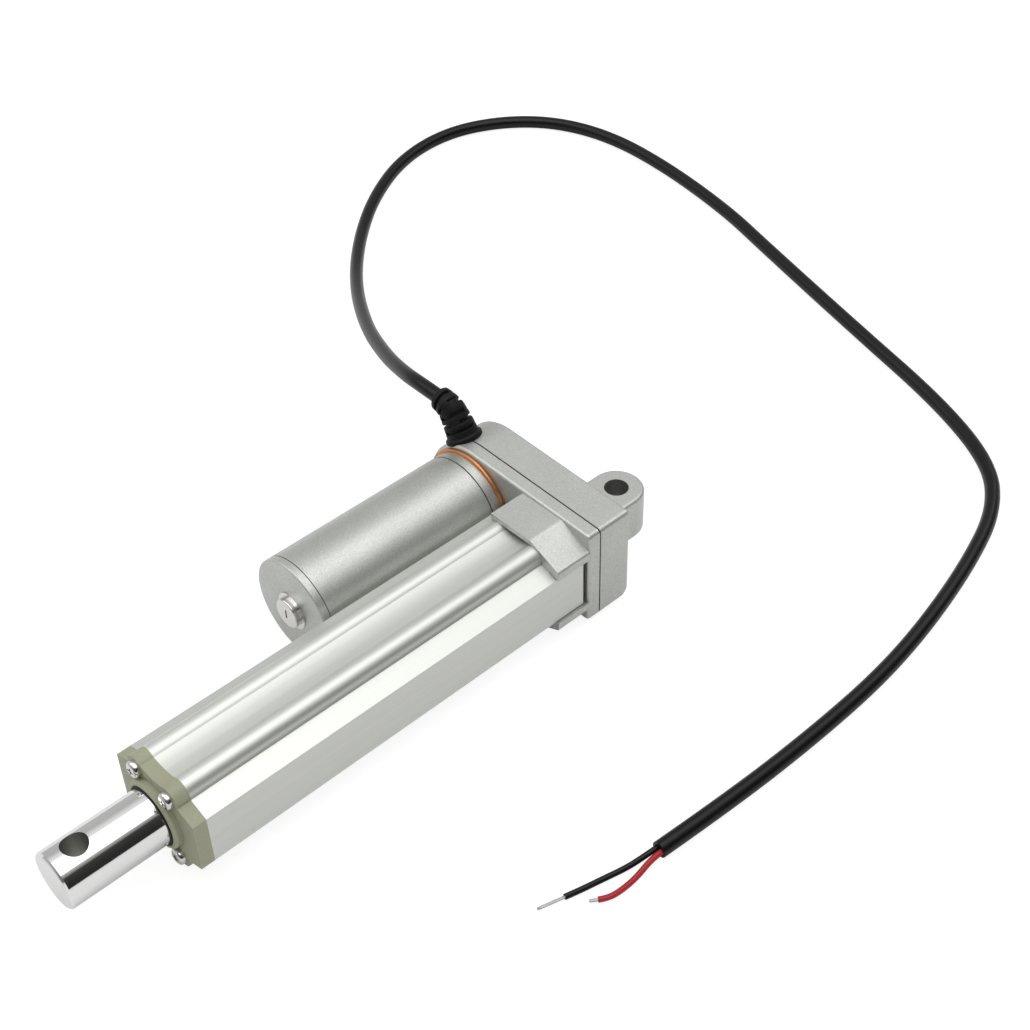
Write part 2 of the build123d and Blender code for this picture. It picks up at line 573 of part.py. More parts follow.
front_gear_housing.part.label = "front_gear_housing"
export_step(front_gear_housing.part, "parts/front_gear_housing.step")

# Rear housing: the deep half shell with the rear eye
underside_angle = pi / 2 - box_touch_angle(0)
underside = Vector(0, cos(underside_angle), sin(underside_angle))
with BuildPart() as rear_gear_housing:
    extrude(box_outline(BOX_REAR_X, 0), amount=SEAM_X - GASKET_T / 2 - BOX_REAR_X)
    fillet(rear_gear_housing.edges().group_by(Axis.X)[0], BOX_EDGE_R)
    with BuildSketch(Plane.XY.offset(-EYE_HALF)):
        Circle(EYE_R)
        with Locations((CAVITY_REAR_X / 2, 0)):
            Rectangle(CAVITY_REAR_X, 2 * EYE_R)
    extrude(amount=2 * EYE_HALF)
    for level in (-EYE_HALF, EYE_HALF):
        rim = rear_gear_housing.edges().filter_by_position(Axis.Z, level, level)
        fillet(rim.filter_by_position(Axis.X, -EYE_R - 1, BOX_REAR_X / 2 + 1), EYE_EDGE_R)
    extrude(box_outline(CAVITY_REAR_X, BOX_WALL + BOX_REAR_ROUND / 4),
            amount=BOX_REAR_ROUND, mode=Mode.SUBTRACT)
    extrude(box_outline(CAVITY_REAR_X + BOX_REAR_ROUND / 2, BOX_WALL), amount=20,
            mode=Mode.SUBTRACT)
    extrude(discs_sketch(CAVITY_REAR_X, BOSS_R, BOX_SCREWS),
            amount=SEAM_X - GASKET_T / 2 - CAVITY_REAR_X)
    extrude(ring_sketch(CAVITY_REAR_X, SCREW_TAIL_R + 3.2), amount=REAR_BUSH_T)
    extrude(ring_sketch(CAVITY_REAR_X, SCREW_TAIL_R + 1.5), amount=REAR_BUSH_T,
            mode=Mode.SUBTRACT)
    extrude(ring_sketch(CAVITY_REAR_X - AXLE_SEAT, IDLER_AXLE_R, y=IDLER_Y),
            amount=AXLE_SEAT, mode=Mode.SUBTRACT)
    extrude(discs_sketch(BOX_REAR_X - 1, M3_HEAD_R + 0.15, BOX_SCREWS),
            amount=BOX_HEAD_SEAT_X - BOX_REAR_X + 1, mode=Mode.SUBTRACT)
    extrude(discs_sketch(BOX_HEAD_SEAT_X, M3_PASS_R, BOX_SCREWS), amount=20, mode=Mode.SUBTRACT)
    with BuildSketch(Plane.XY.offset(-EYE_HALF - 1)):
        Circle(MOUNT_BORE_R)
    extrude(amount=2 * EYE_HALF + 2, mode=Mode.SUBTRACT)
    # The lower rear edge is rounded along the tapered underside
    with BuildSketch(Plane(origin=(BOX_REAR_X, BOX_TUBE_Y, -BOX_TUBE_HALF) + underside,
                           x_dir=(1, 0, 0), z_dir=-underside)):
        with Locations((BOX_REAR_ROUND / 2 - 1, BOX_REAR_ROUND / 2 - 1)):
            Rectangle(BOX_REAR_ROUND + 2, BOX_REAR_ROUND + 2)
        with Locations((BOX_REAR_ROUND, BOX_REAR_ROUND)):
            Circle(BOX_REAR_ROUND, mode=Mode.SUBTRACT)
            with Locations((BOX_REAR_ROUND / 2, 0), (0, BOX_REAR_ROUND / 2)):
                Rectangle(BOX_REAR_ROUND, BOX_REAR_ROUND, mode=Mode.SUBTRACT)
    extrude(amount=2 * MOTOR_OFFSET, mode=Mode.SUBTRACT)
    with BuildSketch(boot_hole):
        Circle(BOOT_NECK_R + SLIDE_FIT)
    extrude(amount=BOX_WALL + 2 * BOOT_FLANGE_T, mode=Mode.SUBTRACT)
rear_gear_housing.part.label = "rear_gear_housing"
export_step(rear_gear_housing.part, "parts/rear_gear_housing.step")

# Housing gasket: the thin dark line between the halves
with BuildPart() as housing_gasket:
    extrude(box_outline(SEAM_X - GASKET_T / 2, 0.25), amount=GASKET_T)
    extrude(box_outline(SEAM_X - GASKET_T / 2, BOX_WALL), amount=GASKET_T, mode=Mode.SUBTRACT)
    with BuildSketch(boot_hole):
        Circle(BOOT_NECK_R + SLIDE_FIT)
    extrude(amount=BOX_WALL + 2 * BOOT_FLANGE_T, mode=Mode.SUBTRACT)
housing_gasket.part.label = "housing_gasket"
export_step(housing_gasket.part, "parts/housing_gasket.step")

# Housing screws: from the rear, in deep counterbores
with BuildPart() as housing_screws:
    extrude(discs_sketch(BOX_HEAD_SEAT_X - M3_HEAD_H, M3_HEAD_R, BOX_SCREWS), amount=M3_HEAD_H)
    extrude(discs_sketch(BOX_HEAD_SEAT_X, M3_R, BOX_SCREWS), amount=BOX_SCREW_L)
    with BuildSketch(Plane.YZ.offset(BOX_HEAD_SEAT_X - M3_HEAD_H)):
        with Locations(*BOX_SCREWS):
            Rectangle(RECESS_L, RECESS_W)
            Rectangle(RECESS_W, RECESS_L)
    extrude(amount=1.0, mode=Mode.SUBTRACT)
housing_screws.part.label = "housing_screws"
export_step(housing_screws.part, "parts/housing_screws.step")

# Tube screws: from inside the gearbox into the tube's ports
with BuildPart() as tube_screws:
    extrude(discs_sketch(CAVITY_FRONT_X - M3_HEAD_H, M3_HEAD_R, PORTS), amount=M3_HEAD_H)
    extrude(discs_sketch(CAVITY_FRONT_X, M3_R, PORTS), amount=TUBE_SCREW_L)
tube_screws.part.label = "tube_screws"
export_step(tube_screws.part, "parts/tube_screws.step")

# Tube gasket: seals the tube's rear end against the gearbox
with BuildPart() as tube_gasket:
    extrude(tube_outline(BOX_FRONT_X, -1.4), amount=TUBE_REAR_GAP)
    extrude(ring_sketch(BOX_FRONT_X, TUBE_BORE_R), amount=TUBE_REAR_GAP, mode=Mode.SUBTRACT)
    extrude(discs_sketch(BOX_FRONT_X, M3_PASS_R, PORTS), amount=TUBE_REAR_GAP, mode=Mode.SUBTRACT)
tube_gasket.part.label = "tube_gasket"
export_step(tube_gasket.part, "parts/tube_gasket.step")

# Idler: the double gear between the motor and the screw
with BuildPart() as idler_gear:
    extrude(gear_sketch(IDLER_TEETH, STAGE1_X, IDLER_Y, IDLER_AXLE_R + RUN_FIT,
                        180 / IDLER_TEETH), amount=STAGE1_T)
    extrude(gear_sketch(IDLER_PINION_TEETH, STAGE1_X + STAGE1_T, IDLER_Y,
                        IDLER_AXLE_R + RUN_FIT), amount=STAGE2_X + STAGE2_T - STAGE1_X - STAGE1_T)
idler_gear.part.label = "idler_gear"
export_step(idler_gear.part, "parts/idler_gear.step")

with BuildPart() as idler_axle:
    extrude(ring_sketch(CAVITY_REAR_X - AXLE_SEAT, IDLER_AXLE_R, y=IDLER_Y),
            amount=CAVITY_FRONT_X - CAVITY_REAR_X + 2 * AXLE_SEAT)
idler_axle.part.label = "idler_axle"
export_step(idler_axle.part, "parts/idler_axle.step")

# Idler washers: thin spacers at both ends of the double gear
with BuildPart() as idler_washers:
    extrude(ring_sketch(CAVITY_REAR_X, IDLER_AXLE_R + 1.6, IDLER_AXLE_R, y=IDLER_Y),
            amount=STAGE1_X - CAVITY_REAR_X - LOOSE)
    extrude(ring_sketch(STAGE2_X + STAGE2_T + LOOSE, IDLER_AXLE_R + 1.6, IDLER_AXLE_R, y=IDLER_Y),
            amount=CAVITY_FRONT_X - AXLE_BOSS_H - STAGE2_X - STAGE2_T - LOOSE)
idler_washers.part.label = "idler_washers"
export_step(idler_washers.part, "parts/idler_washers.step")

# Motor pinion: pressed on the motor's shaft
with BuildPart() as motor_pinion:
    extrude(gear_sketch(PINION_TEETH, STAGE1_X, MOTOR_Y, MOTOR_SHAFT_R), amount=STAGE1_T)
motor_pinion.part.label = "motor_pinion"
export_step(motor_pinion.part, "parts/motor_pinion.step")

# Motor shaft
with BuildPart() as motor_shaft:
    extrude(ring_sketch(STAGE1_X - 0.4, MOTOR_SHAFT_R, y=MOTOR_Y),
            amount=MOTOR_END_X - 0.8 - STAGE1_X)
motor_shaft.part.label = "motor_shaft"
export_step(motor_shaft.part, "parts/motor_shaft.step")

# Armature: five-slot core, its windings and the commutator
CORE_REAR_X = 52.0
CORE_T = 30.0
MAGNET_T = 3.0
AIR_GAP = 0.6
CORE_R = MOTOR_R - MOTOR_WALL - MAGNET_T - AIR_GAP
SLOTS = 5
SLOT_R = 2.8
SLOT_AT_R = CORE_R - 4.2
SLOT_MOUTH_R = CORE_R - 0.4
COIL_R = 2.3
COIL_END_R = CORE_R - 1.8
COIL_END_IN_R = 4.6
COIL_END_T = 4.5
with BuildPart() as armature_core:
    extrude(ring_sketch(CORE_REAR_X, CORE_R, MOTOR_SHAFT_R, y=MOTOR_Y), amount=CORE_T)
    with BuildSketch(Plane.YZ.offset(CORE_REAR_X)):
        with Locations((MOTOR_Y, 0)):
            with PolarLocations(SLOT_AT_R, SLOTS):
                Circle(SLOT_R)
            with PolarLocations(SLOT_MOUTH_R, SLOTS):
                Rectangle(4.0, 1.4)
    extrude(amount=CORE_T, mode=Mode.SUBTRACT)
armature_core.part.label = "armature_core"
export_step(armature_core.part, "parts/armature_core.step")

with BuildPart() as armature_windings:
    for coil_x in (CORE_REAR_X - COIL_END_T, CORE_REAR_X + CORE_T):
        extrude(ring_sketch(coil_x, COIL_END_R, COIL_END_IN_R, y=MOTOR_Y), amount=COIL_END_T)
    with BuildSketch(Plane.YZ.offset(CORE_REAR_X)):
        with Locations((MOTOR_Y, 0)):
            with PolarLocations(SLOT_AT_R, SLOTS):
                Circle(COIL_R)
    extrude(amount=CORE_T)
armature_windings.part.label = "armature_windings"
export_step(armature_windings.part, "parts/armature_windings.step")

COMMUTATOR_X = 88.0
COMMUTATOR_T = 7.0
COMMUTATOR_R = 4.2
with BuildPart() as commutator:
    extrude(ring_sketch(COMMUTATOR_X, COMMUTATOR_R, MOTOR_SHAFT_R, y=MOTOR_Y),
            amount=COMMUTATOR_T)
    with BuildSketch(Plane.YZ.offset(COMMUTATOR_X)):
        with Locations((MOTOR_Y, 0)):
            with PolarLocations(COMMUTATOR_R, SLOTS, start_angle=36):
                Rectangle(1.6, 0.5)
    extrude(amount=COMMUTATOR_T, mode=Mode.SUBTRACT)
commutator.part.label = "commutator"
export_step(commutator.part, "parts/commutator.step")

# Motor can and its two magnets
with BuildPart() as motor_can:
    extrude(ring_sketch(CAN_REAR_X, MOTOR_R, MOTOR_R - MOTOR_WALL, y=MOTOR_Y),
            amount=CAN_FRONT_X - CAN_REAR_X)
motor_can.part.label = "motor_can"
export_step(motor_can.part, "parts/motor_can.step")

MAGNET_GAP = 11.0
MAGNET_OVERHANG = 2.0
with BuildPart() as motor_magnets:
    with BuildSketch(Plane.YZ.offset(CORE_REAR_X - MAGNET_OVERHANG)):
        with Locations((MOTOR_Y, 0)):
            Circle(MOTOR_R - MOTOR_WALL)
            Circle(CORE_R + AIR_GAP, mode=Mode.SUBTRACT)
            Rectangle(MAGNET_GAP, 3 * MOTOR_R, mode=Mode.SUBTRACT)
    extrude(amount=CORE_T + 2 * MAGNET_OVERHANG)
motor_magnets.part.label = "motor_magnets"
export_step(motor_magnets.part, "parts/motor_magnets.step")

# Motor front plate: the flange against the gearbox, with a spigot in the can and a bush seat
MOTOR_BOSS_R = 6.0
MOTOR_BUSH_R = 4.0
with BuildPart() as motor_front_plate:
    extrude(ring_sketch(FLANGE_REAR_X, MOTOR_R, y=MOTOR_Y), amount=MOTOR_FLANGE_T)
    extrude(ring_sketch(FLANGE_REAR_X + MOTOR_FLANGE_T, MOTOR_R - MOTOR_WALL, y=MOTOR_Y),
            amount=5.0)
    extrude(ring_sketch(CAVITY_FRONT_X + 0.4, MOTOR_BOSS_R, y=MOTOR_Y),
            amount=FLANGE_REAR_X - CAVITY_FRONT_X - 0.4)
    extrude(ring_sketch(CAVITY_FRONT_X, MOTOR_BUSH_R, y=MOTOR_Y), amount=20, mode=Mode.SUBTRACT)
    extrude(ring_sketch(FLANGE_REAR_X + MOTOR_FLANGE_T + 1.5, MOTOR_R - 3.5, y=MOTOR_Y),
            amount=20, mode=Mode.SUBTRACT)
    extrude(discs_sketch(FLANGE_REAR_X, M3_R, MOTOR_SCREWS), amount=4.7, mode=Mode.SUBTRACT)
motor_front_plate.part.label = "motor_front_plate"
export_step(motor_front_plate.part, "parts/motor_front_plate.step")

with BuildPart() as motor_front_bush:
    extrude(ring_sketch(CAVITY_FRONT_X + 0.4, MOTOR_BUSH_R, MOTOR_SHAFT_R + RUN_FIT, y=MOTOR_Y),
            amount=FLANGE_REAR_X + MOTOR_FLANGE_T + 1.5 - CAVITY_FRONT_X - 0.4)
motor_front_bush.part.label = "motor_front_bush"
export_step(motor_front_bush.part, "parts/motor_front_bush.step")

# Motor end cap, its bush and the small plug at its centre
with BuildPart() as motor_end_cap:
    extrude(ring_sketch(CAN_FRONT_X + LOOSE, MOTOR_R, y=MOTOR_Y), amount=MOTOR_CAP_T - LOOSE)
    fillet(motor_end_cap.edges().group_by(Axis.X)[-1], 0.7)
    extrude(ring_sketch(CAN_FRONT_X - 4, MOTOR_R - MOTOR_WALL, y=MOTOR_Y), amount=4 + LOOSE)
    extrude(ring_sketch(CAN_FRONT_X - 4, MOTOR_R - 3.5, MOTOR_BOSS_R, y=MOTOR_Y), amount=4,
            mode=Mode.SUBTRACT)
    extrude(ring_sketch(CAN_FRONT_X - 5, MOTOR_BUSH_R, y=MOTOR_Y), amount=7, mode=Mode.SUBTRACT)
    extrude(ring_sketch(CAN_FRONT_X + 2, MOTOR_SHAFT_R + 0.6, y=MOTOR_Y), amount=2,
            mode=Mode.SUBTRACT)
motor_end_cap.part.label = "motor_end_cap"
export_step(motor_end_cap.part, "parts/motor_end_cap.step")

with BuildPart() as motor_rear_bush:
    extrude(ring_sketch(CAN_FRONT_X - 4, MOTOR_BUSH_R, MOTOR_SHAFT_R + RUN_FIT, y=MOTOR_Y),
            amount=6.0)
motor_rear_bush.part.label = "motor_rear_bush"
export_step(motor_rear_bush.part, "parts/motor_rear_bush.step")

with BuildPart() as motor_rear_plug:
    extrude(ring_sketch(MOTOR_END_X, MOTOR_PLUG_R + 1.3, y=MOTOR_Y), amount=0.5)
    extrude(ring_sketch(MOTOR_END_X + 0.5, MOTOR_PLUG_R, y=MOTOR_Y), amount=MOTOR_PLUG_H - 0.5)
    fillet(motor_rear_plug.edges().group_by(Axis.X)[-1], 0.5)
    with BuildSketch(Plane.YZ.offset(MOTOR_END_X + MOTOR_PLUG_H)):
        with Locations((MOTOR_Y, 0)):
            Rectangle(0.7, 3.4)
    extrude(amount=-0.8, mode=Mode.SUBTRACT)
motor_rear_plug.part.label = "motor_rear_plug"
export_step(motor_rear_plug.part, "parts/motor_rear_plug.step")

# Brush gear: a plastic plate, two brushes and their springs
BRUSH_X = COMMUTATOR_X + 1.4
BRUSH_T = 4.2
BRUSH_OUT_R = 9.5
SPRING_OUT_R = MOTOR_R - MOTOR_WALL - 2.0
with BuildPart() as brush_holder:
    extrude(ring_sketch(BRUSH_X - 2.2, MOTOR_R - MOTOR_WALL, COMMUTATOR_R + 1.2, y=MOTOR_Y),
            amount=2.0)
    with BuildSketch(Plane.YZ.offset(BRUSH_X - 0.2)) as guides:
        with Locations((MOTOR_Y, 0)):
            Rectangle(2 * SPRING_OUT_R + 2.4, 5.2)
            Rectangle(2 * SPRING_OUT_R, 3.4, mode=Mode.SUBTRACT)
            Circle(COMMUTATOR_R + 1.2, mode=Mode.SUBTRACT)
    extrude(amount=BRUSH_T)
brush_holder.part.label = "brush_holder"
export_step(brush_holder.part, "parts/brush_holder.step")

with BuildPart() as carbon_brushes:
    with BuildSketch(Plane.YZ.offset(BRUSH_X)):
        with Locations((MOTOR_Y, 0)):
            Rectangle(2 * BRUSH_OUT_R, 3.2)
            Circle(COMMUTATOR_R + LOOSE, mode=Mode.SUBTRACT)
    extrude(amount=BRUSH_T - 0.6)
carbon_brushes.part.label = "carbon_brushes"
export_step(carbon_brushes.part, "parts/carbon_brushes.step")

with BuildPart() as brush_springs:
    for side in (1, -1):
        with BuildSketch(Plane(origin=(BRUSH_X + 1.8, MOTOR_Y + side * BRUSH_OUT_R, 0),
                               z_dir=(0, side, 0))):
            Circle(1.4)
            Circle(1.0, mode=Mode.SUBTRACT)
        extrude(amount=SPRING_OUT_R - BRUSH_OUT_R)
brush_springs.part.label = "brush_springs"
export_step(brush_springs.part, "parts/brush_springs.step")

# Seal ring: the copper-coloured ring between the motor and the gearbox
with BuildPart() as motor_seal_ring:
    extrude(ring_sketch(BOX_FRONT_X, SEAL_RING_R, MOTOR_R - SEAL_RING_SEAT, y=MOTOR_Y),
            amount=SEAL_RING_T)
    fillet(motor_seal_ring.edges().filter_by(GeomType.CIRCLE).sort_by(SortBy.RADIUS)[-2:], 0.55)
motor_seal_ring.part.label = "motor_seal_ring"
export_step(motor_seal_ring.part, "parts/motor_seal_ring.step")

with BuildPart() as motor_screws:
    extrude(discs_sketch(CAVITY_FRONT_X - M3_HEAD_H, M3_HEAD_R, MOTOR_SCREWS), amount=M3_HEAD_H)
    extrude(discs_sketch(CAVITY_FRONT_X, M3_R, MOTOR_SCREWS), amount=MOTOR_SCREW_L)
motor_screws.part.label = "motor_screws"
export_step(motor_screws.part, "parts/motor_screws.step")

# Limit switches: a narrow board in the tube's chamber with a switch at each end of the travel
BOARD_T = 1.0
BOARD_REAR_X = TUBE_REAR_X + 0.4
SWITCH_T = 6.8
SWITCH_Y = 11.3
REACH = 0.3
PLUNGER_R = 0.6
PLUNGER_OUT = 1.4
PLUNGER_IN = 1.4
PLUNGER_TRAVEL = 0.8
PLUNGER_Y = 12.2
SWITCH_W = 6.0
REAR_SWITCH_FACE_X = TRIP_REAR_X - REACH - PLUNGER_OUT
FRONT_SWITCH_FACE_X = TRIP_REAR_X + TRIP_T + STROKE + REACH + PLUNGER_OUT
with BuildPart() as limit_switch_board:
    with BuildSketch(Plane.YZ.offset(BOARD_REAR_X)):
        with Locations((CHAMBER_Y - BOARD_T / 2, 0)):
            Rectangle(BOARD_T, 2 * CHAMBER_HALF - 0.4)
    extrude(amount=FRONT_SWITCH_FACE_X + SWITCH_T + 1 - BOARD_REAR_X)
limit_switch_board.part.label = "limit_switch_board"
export_step(limit_switch_board.part, "parts/limit_switch_board.step")


with BuildPart() as rear_limit_switch:
    with BuildSketch(Plane.YZ.offset(REAR_SWITCH_FACE_X - SWITCH_T)):
        with Locations(((SWITCH_Y + CHAMBER_Y - BOARD_T) / 2, 0)):
            Rectangle(CHAMBER_Y - BOARD_T - SWITCH_Y, SWITCH_W)
    extrude(amount=SWITCH_T)
    extrude(ring_sketch(REAR_SWITCH_FACE_X - PLUNGER_IN - PLUNGER_TRAVEL, PLUNGER_R + SLIDE_FIT,
                        y=PLUNGER_Y), amount=SWITCH_T, mode=Mode.SUBTRACT)
rear_limit_switch.part.label = "rear_limit_switch"
export_step(rear_limit_switch.part, "parts/rear_limit_switch.step")

with BuildPart() as front_limit_switch:
    with BuildSketch(Plane.YZ.offset(FRONT_SWITCH_FACE_X)):
        with Locations(((SWITCH_Y + CHAMBER_Y - BOARD_T) / 2, 0)):
            Rectangle(CHAMBER_Y - BOARD_T - SWITCH_Y, SWITCH_W)
    extrude(amount=SWITCH_T)
    extrude(ring_sketch(FRONT_SWITCH_FACE_X, PLUNGER_R + SLIDE_FIT, y=PLUNGER_Y),
            amount=PLUNGER_IN + PLUNGER_TRAVEL, mode=Mode.SUBTRACT)
front_limit_switch.part.label = "front_limit_switch"
export_step(front_limit_switch.part, "parts/front_limit_switch.step")

# Switch plungers: the small pins that the nut's finger reaches at each end of the travel
with BuildPart() as rear_switch_plunger:
    extrude(ring_sketch(REAR_SWITCH_FACE_X - PLUNGER_IN, PLUNGER_R, y=PLUNGER_Y),
            amount=PLUNGER_IN + PLUNGER_OUT)
rear_switch_plunger.part.label = "rear_switch_plunger"
export_step(rear_switch_plunger.part, "parts/rear_switch_plunger.step")

with BuildPart() as front_switch_plunger:
    extrude(ring_sketch(FRONT_SWITCH_FACE_X - PLUNGER_OUT, PLUNGER_R, y=PLUNGER_Y),
            amount=PLUNGER_IN + PLUNGER_OUT)
front_switch_plunger.part.label = "front_switch_plunger"
export_step(front_switch_plunger.part, "parts/front_switch_plunger.step")

DIODE_R = 0.7
DIODE_L = 4.0
DIODE_FROM_SWITCH = 20.0
with BuildPart() as board_diodes:
    for diode_x in (REAR_SWITCH_FACE_X + DIODE_FROM_SWITCH,
                    FRONT_SWITCH_FACE_X - DIODE_FROM_SWITCH):
        extrude(ring_sketch(diode_x, DIODE_R, y=CHAMBER_Y - BOARD_T - DIODE_R), amount=DIODE_L)
board_diodes.part.label = "board_diodes"
export_step(board_diodes.part, "parts/board_diodes.step")

# Cord boot: a bent rubber boot with ribs, held by its two flanges in the housing's wall
boot_path = FilletPolyline(boot_inner, *boot_points, radius=cord_bends[:2])
boot_body_path = FilletPolyline(boot_wall, *boot_points, radius=cord_bends[:2])
with BuildPart() as cable_boot:
    with BuildSketch(boot_hole):
        Circle(BOOT_INNER_R)
    extrude(amount=BOX_WALL + BOOT_FLANGE_T)
    with BuildSketch(boot_hole.offset(BOX_WALL)):
        Circle(BOOT_FLANGE_R)
    extrude(amount=2 * BOOT_FLANGE_T)
    with BuildSketch(Plane.YZ.offset(BOOT_X - BOOT_FLANGE_R - 1)):
        with Locations((MOTOR_Y, 0)):
            Circle(BOX_MOTOR_R)
            Circle(BOX_MOTOR_R - BOX_WALL, mode=Mode.SUBTRACT)
    extrude(amount=2 * BOOT_FLANGE_R + 2, mode=Mode.SUBTRACT)
    with BuildSketch(boot_hole):
        Circle(BOOT_NECK_R)
    extrude(amount=BOOT_FLANGE_T + BOX_WALL)
    for index in range(BOOT_RIBS):
        place = boot_path.length - BOOT_RIB_T / 2 - index * 2 * BOOT_RIB_T
        rib = Plane(origin=boot_path.position_at(place, position_mode=PositionMode.LENGTH),
                    z_dir=boot_path.tangent_at(place, position_mode=PositionMode.LENGTH))
        with BuildSketch(rib):
            Circle(BOOT_R)
        extrude(amount=BOOT_RIB_T / 2, both=True)
    with BuildSketch(Plane(origin=boot_wall, x_dir=(1, 0, 0), z_dir=boot_dir)):
        Circle(BOOT_BODY_R)
    sweep(path=boot_body_path)
    with BuildSketch(boot_hole):
        Circle(SHEATH_R)
    sweep(path=boot_path, mode=Mode.SUBTRACT)
cable_boot.part.label = "cable_boot"
export_step(cable_boot.part, "parts/cable_boot.step")

# Cord sheath: one long soft tube laid in a loop on the surface
cord_path = FilletPolyline(*cord_points, radius=cord_bends)
with BuildPart() as cable_sheath:
    with BuildSketch(Plane(origin=cord_path @ 0, z_dir=cord_path % 0)):
        Circle(SHEATH_R)
    sweep(path=cord_path)
cable_sheath.part.label = "cable_sheath"
export_step(cable_sheath.part, "parts/cable_sheath.step")

# Wires: two insulated wires out of the sheath's end, with bare tinned strands
cord_end = cord_path @ 1
wire_apart = Vector(-(cord_path % 1).Y, (cord_path % 1).X, 0) * (WIRE_R + RUN_FIT)
WIRE_Z = SURFACE_Z + WIRE_R
WIRE_LEAD = 3.4
black_points = [
    cord_end - wire_apart, cord_end - wire_apart + (cord_path % 1) * WIRE_LEAD,
    (90.2, 93.4, WIRE_Z), (98.8, 91.2, WIRE_Z), (105.0, 89.7, WIRE_Z), (109.8, 88.3, WIRE_Z),
]
black_path = FilletPolyline(*black_points, radius=cord_radii(black_points))
with BuildPart() as black_wire:
    with BuildSketch(Plane(origin=black_path @ 0, z_dir=black_path % 0)):
        Circle(WIRE_R)
    sweep(path=black_path)
black_wire.part.label = "black_wire"
export_step(black_wire.part, "parts/black_wire.step")

red_points = [
    cord_end + wire_apart, cord_end + wire_apart + (cord_path % 1) * WIRE_LEAD,
    (91.0, 97.5, WIRE_Z),
    (97.0, 97.6, WIRE_Z), (101.4, 96.9, WIRE_Z), (103.8, 95.3, WIRE_Z),
]
red_path = FilletPolyline(*red_points, radius=cord_radii(red_points))
with BuildPart() as red_wire:
    with BuildSketch(Plane(origin=red_path @ 0, z_dir=red_path % 0)):
        Circle(WIRE_R)
    sweep(path=red_path)
red_wire.part.label = "red_wire"
export_step(red_wire.part, "parts/red_wire.step")

# Strands: the bare end of each wire, one twisted bundle
BLACK_BARE = 8.6
RED_BARE = 2.6
with BuildPart() as black_wire_strands:
    with BuildSketch(Plane(origin=black_path @ 1, z_dir=black_path % 1)):
        Circle(STRANDS_R)
    extrude(amount=BLACK_BARE)
black_wire_strands.part.label = "black_wire_strands"
export_step(black_wire_strands.part, "parts/black_wire_strands.step")

with BuildPart() as red_wire_strands:
    with BuildSketch(Plane(origin=red_path @ 1, z_dir=red_path % 1)):
        Circle(STRANDS_R)
    extrude(amount=RED_BARE)
red_wire_strands.part.label = "red_wire_strands"
export_step(red_wire_strands.part, "parts/red_wire_strands.step")

print("cord length", round(cord_path.length, 1))
print("cord bend radii", [round(radius, 1) for radius in cord_bends])
print("wire lengths", round(black_path.length, 1), round(red_path.length, 1))
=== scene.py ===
# %% [markdown]
# # An electric linear actuator
# A small motor lies beside an aluminium tube. Gears in the box behind them turn a screw, and
# the screw pushes a chrome rod out of the tube. All hard parts come in ready, as the fixed
# frame, because their sizes matter. This lesson gives them their finishes, builds the soft
# parts (the cord, its wires and its rubber boot) and sets the camera and the light.

# %% Load the frame
import math

import bmesh
import bpy
from mathutils import Matrix, Vector


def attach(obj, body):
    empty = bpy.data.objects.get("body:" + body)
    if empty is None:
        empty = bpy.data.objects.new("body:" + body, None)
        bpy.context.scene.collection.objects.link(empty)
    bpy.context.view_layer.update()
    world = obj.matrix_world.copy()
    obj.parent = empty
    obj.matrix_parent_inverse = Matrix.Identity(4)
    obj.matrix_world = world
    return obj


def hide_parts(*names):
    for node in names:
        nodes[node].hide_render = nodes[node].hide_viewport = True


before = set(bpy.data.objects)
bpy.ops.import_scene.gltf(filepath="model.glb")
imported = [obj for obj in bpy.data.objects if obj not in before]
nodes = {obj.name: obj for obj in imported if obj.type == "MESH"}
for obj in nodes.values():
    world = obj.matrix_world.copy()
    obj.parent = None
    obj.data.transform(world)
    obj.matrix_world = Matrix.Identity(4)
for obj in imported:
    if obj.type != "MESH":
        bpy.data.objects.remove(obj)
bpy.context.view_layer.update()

# %% [markdown]
# ## Camera
# The picture was taken from above and in front, with the rod pointing to the lower left. A
# camera needs three directions: to its right, up and backwards. They come from two angles
# about the object and a small roll, and their matrix is set in one step, because a Track To
# constraint could not give the roll.

# %% Camera at the picture's angle
AZIMUTH = math.radians(137.928)
ELEVATION = math.radians(42.177)
ROLL = math.radians(-1.634)
CAMERA_PLACE = Vector((0.31120, 0.29557, 0.38498))
SENSOR = 36.0
FOCAL_PIXELS = 1767.3
PICTURE_PIXELS = 1030

backwards = Vector((math.sin(AZIMUTH) * math.cos(ELEVATION),
                    -math.cos(AZIMUTH) * math.cos(ELEVATION), math.sin(ELEVATION)))
level_right = (-backwards).cross(Vector((0, 0, 1))).normalized()
level_up = level_right.cross(-backwards)
right = level_right * math.cos(ROLL) + level_up * math.sin(ROLL)
upwards = level_up * math.cos(ROLL) - level_right * math.sin(ROLL)

camera_data = bpy.data.cameras.new("camera")
camera_data.sensor_width = SENSOR
camera_data.lens = FOCAL_PIXELS * SENSOR / PICTURE_PIXELS
camera = bpy.data.objects.new("camera", camera_data)
bpy.context.scene.collection.objects.link(camera)
turn = Matrix((right, upwards, backwards)).transposed().to_4x4()
camera.matrix_world = Matrix.Translation(CAMERA_PLACE) @ turn
bpy.context.scene.camera = camera
print("lens", round(camera_data.lens, 2), "mm")

# %% [markdown]
# ## Cord
# The cord is one soft black cable. It climbs out of the gearbox through its boot, bends down
# to the table and lies round behind the actuator in a wide open loop. A NURBS curve suits it:
# its control points pull the line without touching it, so it bends as softly as a cable does.
# The order is set after the points are there, since a new spline has too few for it. The
# thickness sits in each point's radius, because a curve's bounding box grows by that radius.

# %% Helpers for soft round lines
MM = 0.001


